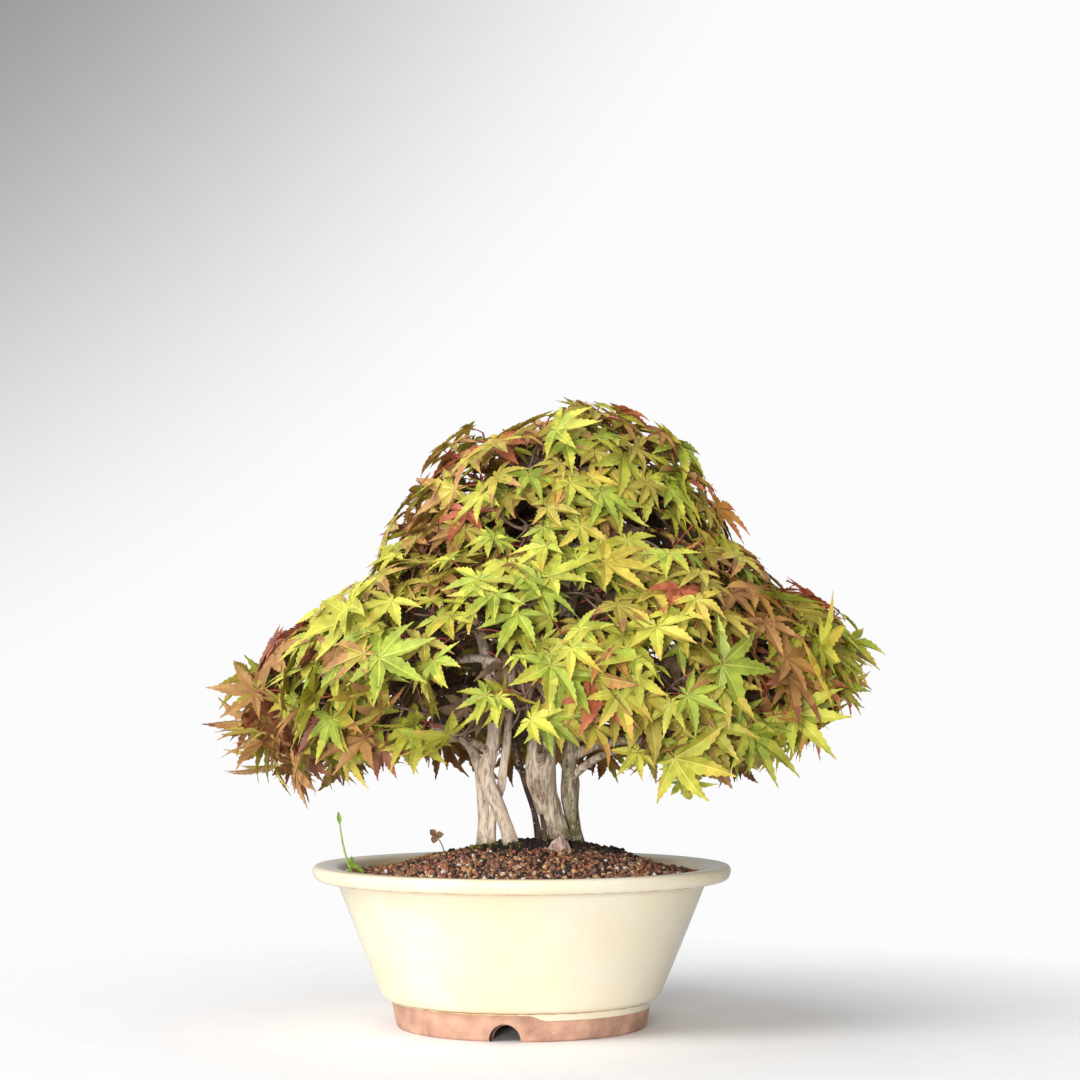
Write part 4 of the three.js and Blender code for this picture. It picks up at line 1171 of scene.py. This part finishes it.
PALETTES = {  # shares of the moods among a mass's sprays
    "apex": {"olive": 5, "bronze": 2, "lime": 3, "fiery": 1},
    "upper_front": {"lime": 4, "fresh": 2, "golden": 2, "olive": 4},
    "upper_right": {"olive": 4, "lime": 3, "bronze": 2, "golden": 1, "fiery": 1},
    "upper_back_right": {"olive": 3, "lime": 4, "golden": 1, "bronze": 1, "fiery": 1},
    "upper_back_left": {"olive": 4, "lime": 3, "bronze": 2, "golden": 1},
    "upper_left": {"lime": 3, "fresh": 1, "olive": 4, "bronze": 2, "fiery": 1},
    "lower_front": {"lime": 8, "fresh": 4, "golden": 3, "olive": 5, "fiery": 1},
    "lower_right_front": {"lime": 8, "fresh": 3, "golden": 3, "olive": 5, "fiery": 1, "bronze": 2},
    "lower_right": {"fresh": 1, "lime": 2, "olive": 3, "golden": 1, "fiery": 2, "bronze": 2},
    "lower_right_back": {"olive": 3, "lime": 3, "golden": 2, "bronze": 2},
    "lower_left_back": {"olive": 3, "bronze": 3, "lime": 3, "russet": 1},
    "lower_left": {"russet": 3, "bronze": 3, "olive": 3, "lime": 1},
    "lower_left_front": {"lime": 7, "fresh": 3, "golden": 1, "olive": 3, "bronze": 1},
}
LEFT_EDGE = {"olive": 3, "bronze": 4, "russet": 4}
RIGHT_EDGE = {"lime": 1, "olive": 3, "bronze": 3, "fiery": 2, "russet": 1}
TOP_EDGE = {"olive": 4, "bronze": 3, "lime": 2, "fiery": 1}


def deal(share, palette):
    """The mood that lies at a share, from 0 to 1, of the way through a palette."""
    names = list(palette)
    ends = np.cumsum([palette[name] for name in names])
    return names[int(np.searchsorted(ends, min(share, 0.999) * ends[-1], side="right"))]


def palette_at(place, mass_name, random):
    """The palette of a spray: masses keep their own, but the crown's two ends and top turn first."""
    x, _, z = place
    high_left = 0.4 * smoothstep(-x, 50, 70) * smoothstep(z, 165, 180)
    for edge, chance in ((LEFT_EDGE, 0.95 * smoothstep(-x, 85, 108) + high_left),
                         (RIGHT_EDGE, 0.6 * smoothstep(x, 80, 130)),
                         (TOP_EDGE, 0.7 * smoothstep(z, 255, 275))):
        if random.random() < chance:
            return edge
    return PALETTES[mass_name]


def face_tints(mood, reaches, halves, random):
    """The tint of every face of a leaf in a mood: tips and some halves of lobes stand further along."""
    row, (first, last), more = MOODS[mood]
    further = more * random.random()
    at_tips = np.clip(reaches * 1.4 - 0.35, 0, 1)
    stage = random.uniform(first, last) + further * (at_tips + 0.22 * halves)
    return np.array(row)[np.clip(stage.astype(int), 0, len(row) - 1)]


print("tints:", ", ".join(TINTS))

# %% [markdown]
# ## Hang the leaves
# A twiglet ends in a pair of leaves on red stalks. The stalk leaves it sideways and outward, and the
# blade turns its face to the light and hangs out and down. Each leaf tries a few places and keeps the
# one furthest from the blades around it, which keeps the crown even. The crown's lower edge arches up
# over the stems, and a few windows in its front stay open, where boughs and the inner leaves show, painted
# dark for the shade inside the crown.
# %% Choose a leaf's place
LEAF_LENGTH = (17.5, 28.5)
STALK_LENGTH = (8, 18)
TRIES = 9
UP = np.array([0, 0, 1.0])
WINDOWS = [  # x, z and radius
    (-20, 171, 13), (26, 196, 10), (62, 163, 8), (-46, 187, 7), (4, 240, 8), (58, 232, 7), (2, 143, 9)]
SKIRT = [  # lower edge from left to right, as places of x and z
    (-162, 150), (-146, 120), (-133, 98), (-118, 106), (-80, 112), (-52, 114), (-38, 118), (-30, 140),
    (24, 140), (32, 116), (54, 112), (80, 112), (106, 113), (125, 119), (135, 131), (148, 147),
    (158, 157), (176, 170)]
BACK_SKIRT = [  # the same behind the stems
    (-162, 150), (-133, 98), (-80, 112), (-50, 128), (-38, 126), (-30, 110), (30, 108), (54, 110),
    (80, 112), (106, 113), (125, 119), (135, 131), (148, 147), (158, 157), (176, 170)]
ROOF = [  # upper edge from left to right
    (-160, 148), (-136, 171), (-112, 182), (-90, 197), (-74, 212), (-67, 240), (-58, 261), (-32, 279),
    (12, 289), (34, 298), (64, 290), (83, 277), (92, 252), (99, 231), (122, 211), (156, 194),
    (174, 176), (180, 150)]
BACK_FROM, WINDOW_DEPTH = 12, 5  # y where the back skirt starts, and where the windows end
BLADE_MIDDLE, LOBE_SIDE = 0.4, 0.6  # shares of a leaf's length: to its middle, and to a side lobe's tip
MOST_ROOM, LEAST_ROOM = 20.0, -9  # room where no blade hangs yet, and the least that a leaf accepts
SKIRT_COST, ROOF_COST, WINDOW_COST, RISING_COST = 3.5, 2.0, 2.0, 20
JUT, SIDE_JUT, DIP = 0.6, 0.9, (0.1, 0.8)  # how far a blade leans out, more at the sides, and down
STALK_JITTER, FACE_JITTER, FACE_RISE = 1.7, 1.2, 0.45
blades = {name: Heap() for name in TINTS}
veins, stalks = Heap(), Heap()
blade_middles = []


def leaf_place(tip, way, face, size, random):
    """One possible place of a leaf: where its blade starts, its length, axis and facing."""
    jitter = random.random((2, 3)) - 0.5
    outward = unit((face[0], face[1], 0.02))
    jut = JUT + SIDE_JUT * smoothstep(abs(face[0]), 0.5, 0.85)
    stalk_way = unit(way * 0.5 + face * 0.5 + jitter[0] * STALK_JITTER)
    base = tip + stalk_way * random.uniform(*STALK_LENGTH) * size
    flat = stalk_way - face * stalk_way.dot(face)
    lean_out = outward * random.uniform(-0.1, jut)
    axis = unit(unit(flat) * 0.9 + lean_out - UP * random.uniform(*DIP))
    facing = face + UP * FACE_RISE + jitter[1] * FACE_JITTER
    facing = unit(facing - axis * facing.dot(axis))
    length = random.uniform(*LEAF_LENGTH) * size
    return {"base": base, "axis": axis, "facing": facing, "way": stalk_way, "length": length,
            "middle": base + axis * length * BLADE_MIDDLE}


def room_at(place):
    """How good a leaf's place is: far from other blades, above the skirt, and out of the windows."""
    room = MOST_ROOM
    if blade_middles:
        room = float(np.min(np.linalg.norm(np.array(blade_middles) - place["middle"], axis=1)))
    side = LOBE_SIDE * np.cross(place["axis"], place["facing"])
    for way in (place["axis"], side, -side):
        x, y, z = place["base"] + way * place["length"]
        lowest = np.interp(x, *zip(*(SKIRT if y < BACK_FROM else BACK_SKIRT)))
        highest = np.interp(x, *zip(*ROOF))
        room -= SKIRT_COST * max(0.0, lowest - z) + ROOF_COST * max(0.0, z - highest)
    room -= RISING_COST * max(0.0, place["axis"][2])
    if place["middle"][1] < WINDOW_DEPTH:
        for x, z, radius in WINDOWS:
            near = math.hypot(place["middle"][0] - x, place["middle"][2] - z)
            room -= WINDOW_COST * max(0.0, radius + 0.3 * place["length"] - near)
    return room


print("leaves are", " to ".join(str(length) for length in LEAF_LENGTH), "mm from the stalk to the tip")

# %% [markdown]
# A leaf is a flat pattern turned to its place. Its lobes droop towards their tips, the halves fold up
# from the veins, and its faces go by their tints to one heap for each colour. Only fresh leaves have
# veins paler than the blade.
# %% Build the leaf there
DROOP, FOLD, CURL, CURL_FROM = (-0.03, 0.16), (0.25, 0.75), (-0.2, 0.45), 0.6
PALE_VEINED = ("fresh", "lime", "golden", "olive")
STALK_RADII = (0.4, 0.34, 0.32, 0.4)


def hang_leaf(tip, way, face, size, mood, random):
    """Adds one leaf with its stalk, veins and tints, unless it finds no room at all."""
    place = max([leaf_place(tip, way, face, size, random) for _ in range(TRIES)], key=room_at)
    if room_at(place) < LEAST_ROOM:
        return False
    blade_middles.append(place["middle"])
    flat, faces, ribs, reaches, halves = PATTERNS[int(random.integers(len(PATTERNS)))]
    reach = np.hypot(flat[:, 0], flat[:, 1])
    droop, fold, curl = random.uniform(*DROOP), random.uniform(*FOLD), random.uniform(*CURL)
    hang = droop * reach**2 + curl * np.clip(reach - CURL_FROM, 0, 1) ** 2
    lift = fold * flat[:, 2] - flat[:, 4] * hang
    side = np.cross(place["axis"], place["facing"])
    points = place["base"] + place["length"] * (
        flat[:, :1] * side + flat[:, 1:2] * place["axis"] + lift[:, None] * place["facing"])
    tints = face_tints(mood, reaches, halves, random)
    for name in np.unique(tints):
        blades[name].add(points, faces[tints == name])
    (veins if mood in PALE_VEINED else blades[tints[0]]).add(points, ribs)
    stalk = bend(tip, place["base"], place["way"] + UP * 0.3, 3)
    stalks.add(*tube(stalk, STALK_RADII, 4))
    return True


print("pale veins on moods:", ", ".join(PALE_VEINED))

# %% [markdown]
# Each spray forks into three twiglets with a pair of leaves each, all in one mood with a stray or two.
# Two leaves stand deeper in, so that little daylight falls through; they wear the shade tint, painted
# darker for the shade inside the crown.
# %% Dress every spray
TWIGLET_TURNS = (0.0, 2.1, 4.2)
TWIGLET_REACH, TWIGLET_LIFT = (5, 12), (-5, 4)  # sideways, and away from the crown
OWN_SHARE = 0.6  # of the leaves that keep their spray's mood
LEAF_SIZES, TOP_SMALLER = (0.72, 1.1), 0.12
END_SAG = 12  # millimetres by which the crown's left end hangs
INNER_DEPTHS, INNER_SIZE = ((12, 20), (20, 36)), 0.9
hang_random = np.random.default_rng(47)
leaf_count = 0
for n, (end, onward, place, face, radius, mass_name) in enumerate(sprays):
    palette = palette_at(place, mass_name, hang_random)
    mood = deal(n * (GOLDEN - 1) % 1, palette)
    high = min(1.0, max(0.0, (place[2] - 150) / 130))
    sag = END_SAG * smoothstep(-place[0], 80, 130) * smoothstep(175 - place[2], 0, 30)
    side = unit(np.cross(face, hang_random.normal(size=3)))
    up = np.cross(face, side)
    for turn in TWIGLET_TURNS:
        across = side * math.cos(turn) + up * math.sin(turn)
        out = across * hang_random.uniform(*TWIGLET_REACH) + face * hang_random.uniform(*TWIGLET_LIFT)
        tip = place + out - UP * sag
        line = bend(end, tip, onward, 3)
        twigs.add(*tube(line, np.linspace(radius * 0.8, TWIG_RADII["twiglet"], 4), 5))
        for _ in range(2):
            own = mood if hang_random.random() < OWN_SHARE else deal(hang_random.random(), palette)
            size = hang_random.uniform(*LEAF_SIZES) * (1 - TOP_SMALLER * high)
            leaf_count += hang_leaf(tip, unit(out + face * 4), face, size, own, hang_random)
    # the two inner leaves wear the shade tint, painted darker for the shade inside the crown
    for depth in [hang_random.uniform(*depths) for depths in INNER_DEPTHS]:
        inside = end - face * depth
        leaf_count += hang_leaf(inside, face * 0.3 - onward, face, INNER_SIZE, "shade", hang_random)
print("leaves:", leaf_count)

# %% [markdown]
# ## Leaf, stalk and twig finishes
# A leaf is thin and waxy: a low, broad sheen over a tint that is never quite even. Blades get two near
# tints clouded at the scale of a few millimetres and a fine bump for the net of small veins. Red stalks
# and young brown twigs have the same waxy skin.
# %% Make the leaf pieces
foliage_nodes = ["foliage_" + name for name in masses]


def leaf_finish(name, light, dark):
    """A waxy blade of two near tints with a fine net of bumps."""
    leaf = Finish(name, Roughness=0.5, Specular_IOR_Level=0.35)
    leaf.wear(leaf.clouds(light, dark, 110)["Colour"])
    leaf.relief(leaf.specks(900, 0.4), 0.00025, 0.35)
    return leaf.material


for name, (light, dark, slot) in TINTS.items():
    make_piece("leaves_" + name, *blades[name].arrays(), leaf_finish("leaf_" + name, light, dark), slot,
               foliage_nodes)
for name, heap, light, dark, slot in (
        ("leaf_veins", veins, tint(222, 218, 120), tint(196, 194, 90), "leaves_lime"),
        ("leaf_stalks", stalks, tint(186, 92, 70), tint(136, 60, 50), "leaves_orange"),
        ("twigs", twigs, tint(132, 106, 88), tint(82, 60, 50), "bark")):
    make_piece(name, *heap.arrays(), leaf_finish(name + "_skin", light, dark), slot, foliage_nodes)

# %% [markdown]
# ## Studio
# A pale table whose far side melts into a bright backdrop, as a sweep of paper does: the table turns
# clear with distance, and the surround shows through. Marked as stage, it isn't part of the plant.
# %% Floor
FLOOR_RADIUS, FLOOR_RINGS, FLOOR_SIDES = 0.75, 15, 64
FLOOR_LEVEL = -0.00005  # a hair under the foot, so that the two don't fight for the same plane
FADE = (0.14, 0.42)  # distance from the pot, in metres, where the table starts and ends to turn clear
floor_mesh = bpy.data.meshes.new("floor")
floor_radii = np.linspace(0, FLOOR_RADIUS, FLOOR_RINGS + 1)[1:]
floor_points = [(0, 0, FLOOR_LEVEL)] + [(r * math.cos(t), r * math.sin(t), FLOOR_LEVEL)
                                        for r in floor_radii for t in circle(FLOOR_SIDES)]
floor_middle = [(0, 1 + k, 1 + (k + 1) % FLOOR_SIDES) for k in range(FLOOR_SIDES)]
floor_faces = (grid_faces(FLOOR_RINGS, FLOOR_SIDES) + 1).tolist() + floor_middle
floor_mesh.from_pydata(floor_points, [], floor_faces)
floor = placed("floor", floor_mesh)
table = Finish("pale_table", Roughness=0.7)
table.wear(table.clouds(tint(250, 249, 250), tint(247, 246, 247), 30)["Colour"])
table_place = add_node(table.tree, "TexCoord")["Object"]
table_reach = add_node(table.tree, "VectorMath", {0: table_place}, operation="LENGTH")["Value"]
table.tree.links.new(span(table.tree, table_reach, *FADE, 1.0, 0.0), table.shader.inputs["Alpha"])
floor_mesh.materials.append(table.material)
floor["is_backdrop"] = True
print("floor:", len(floor_mesh.polygons), "faces")

# %% [markdown]
# Two soft boxes light the plant: a large one high at the left, and a small low one in front, which
# reaches the stems under the crown. The surround fills the shadows, more from the left than from the
# right. What the camera sees of it darkens towards the upper left corner.
# %% Lights
AIM = (0, 0, 0.12)
SOFT_BOXES = {  # place, size in metres and power in watts
    "key": ((-2.2, -1.6, 1.9), 1.4, 62),
    "front": ((-0.5, -2.7, 0.3), 0.5, 45),
}
DARK_CORNER, CORNER_SPAN, CORNER_LIGHT = (-0.45, 0.75, 0.55), (0.80, 0.96), (0.97, 0.22)
BRIGHT_SIDE, SIDE_LIGHT = (-0.9, -0.44, 0.0), (0.30, 1.00)
for name, (place, size, power) in SOFT_BOXES.items():
    data = bpy.data.lights.new(name, "AREA")
    data.size = size
    data.energy = power
    light = placed(name, data)
    light.location = place
    light.rotation_euler = (Vector(AIM) - Vector(place)).to_track_quat("-Z", "Y").to_euler()

world = bpy.data.worlds.new("surround")
bpy.context.scene.world = world
world.use_nodes = True
sky = world.node_tree
background = next(n for n in sky.nodes if n.type == "BACKGROUND")
background.inputs["Color"].default_value = (1, 1, 1, 1)
looking = add_node(sky, "TexCoord")["Generated"]
corner, left = (add_node(sky, "VectorMath", {0: looking, 1: way}, operation="DOT_PRODUCT")["Value"]
                for way in (unit(DARK_CORNER), BRIGHT_SIDE))
strength = add_node(sky, "Mix", {
    "Factor": add_node(sky, "LightPath")["Is Camera Ray"],
    "A": span(sky, left, -1, 1, *SIDE_LIGHT),
    "B": span(sky, corner, *CORNER_SPAN, *CORNER_LIGHT, "SMOOTHSTEP")})["Result"]
sky.links.new(strength, background.inputs["Strength"])

# %% [markdown]
# ## Size and finish
# The dressed plant has to stay the size of its solids. Both boxes are gathered here, and the dressed one is
# printed.
# %% Gather the boxes
dressed_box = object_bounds()
sizes = {"cad": [list(corner) for corner in cad_box], "visual": [list(corner) for corner in dressed_box]}
print("visual box:", [[round(v, 4) for v in corner] for corner in sizes["visual"]])
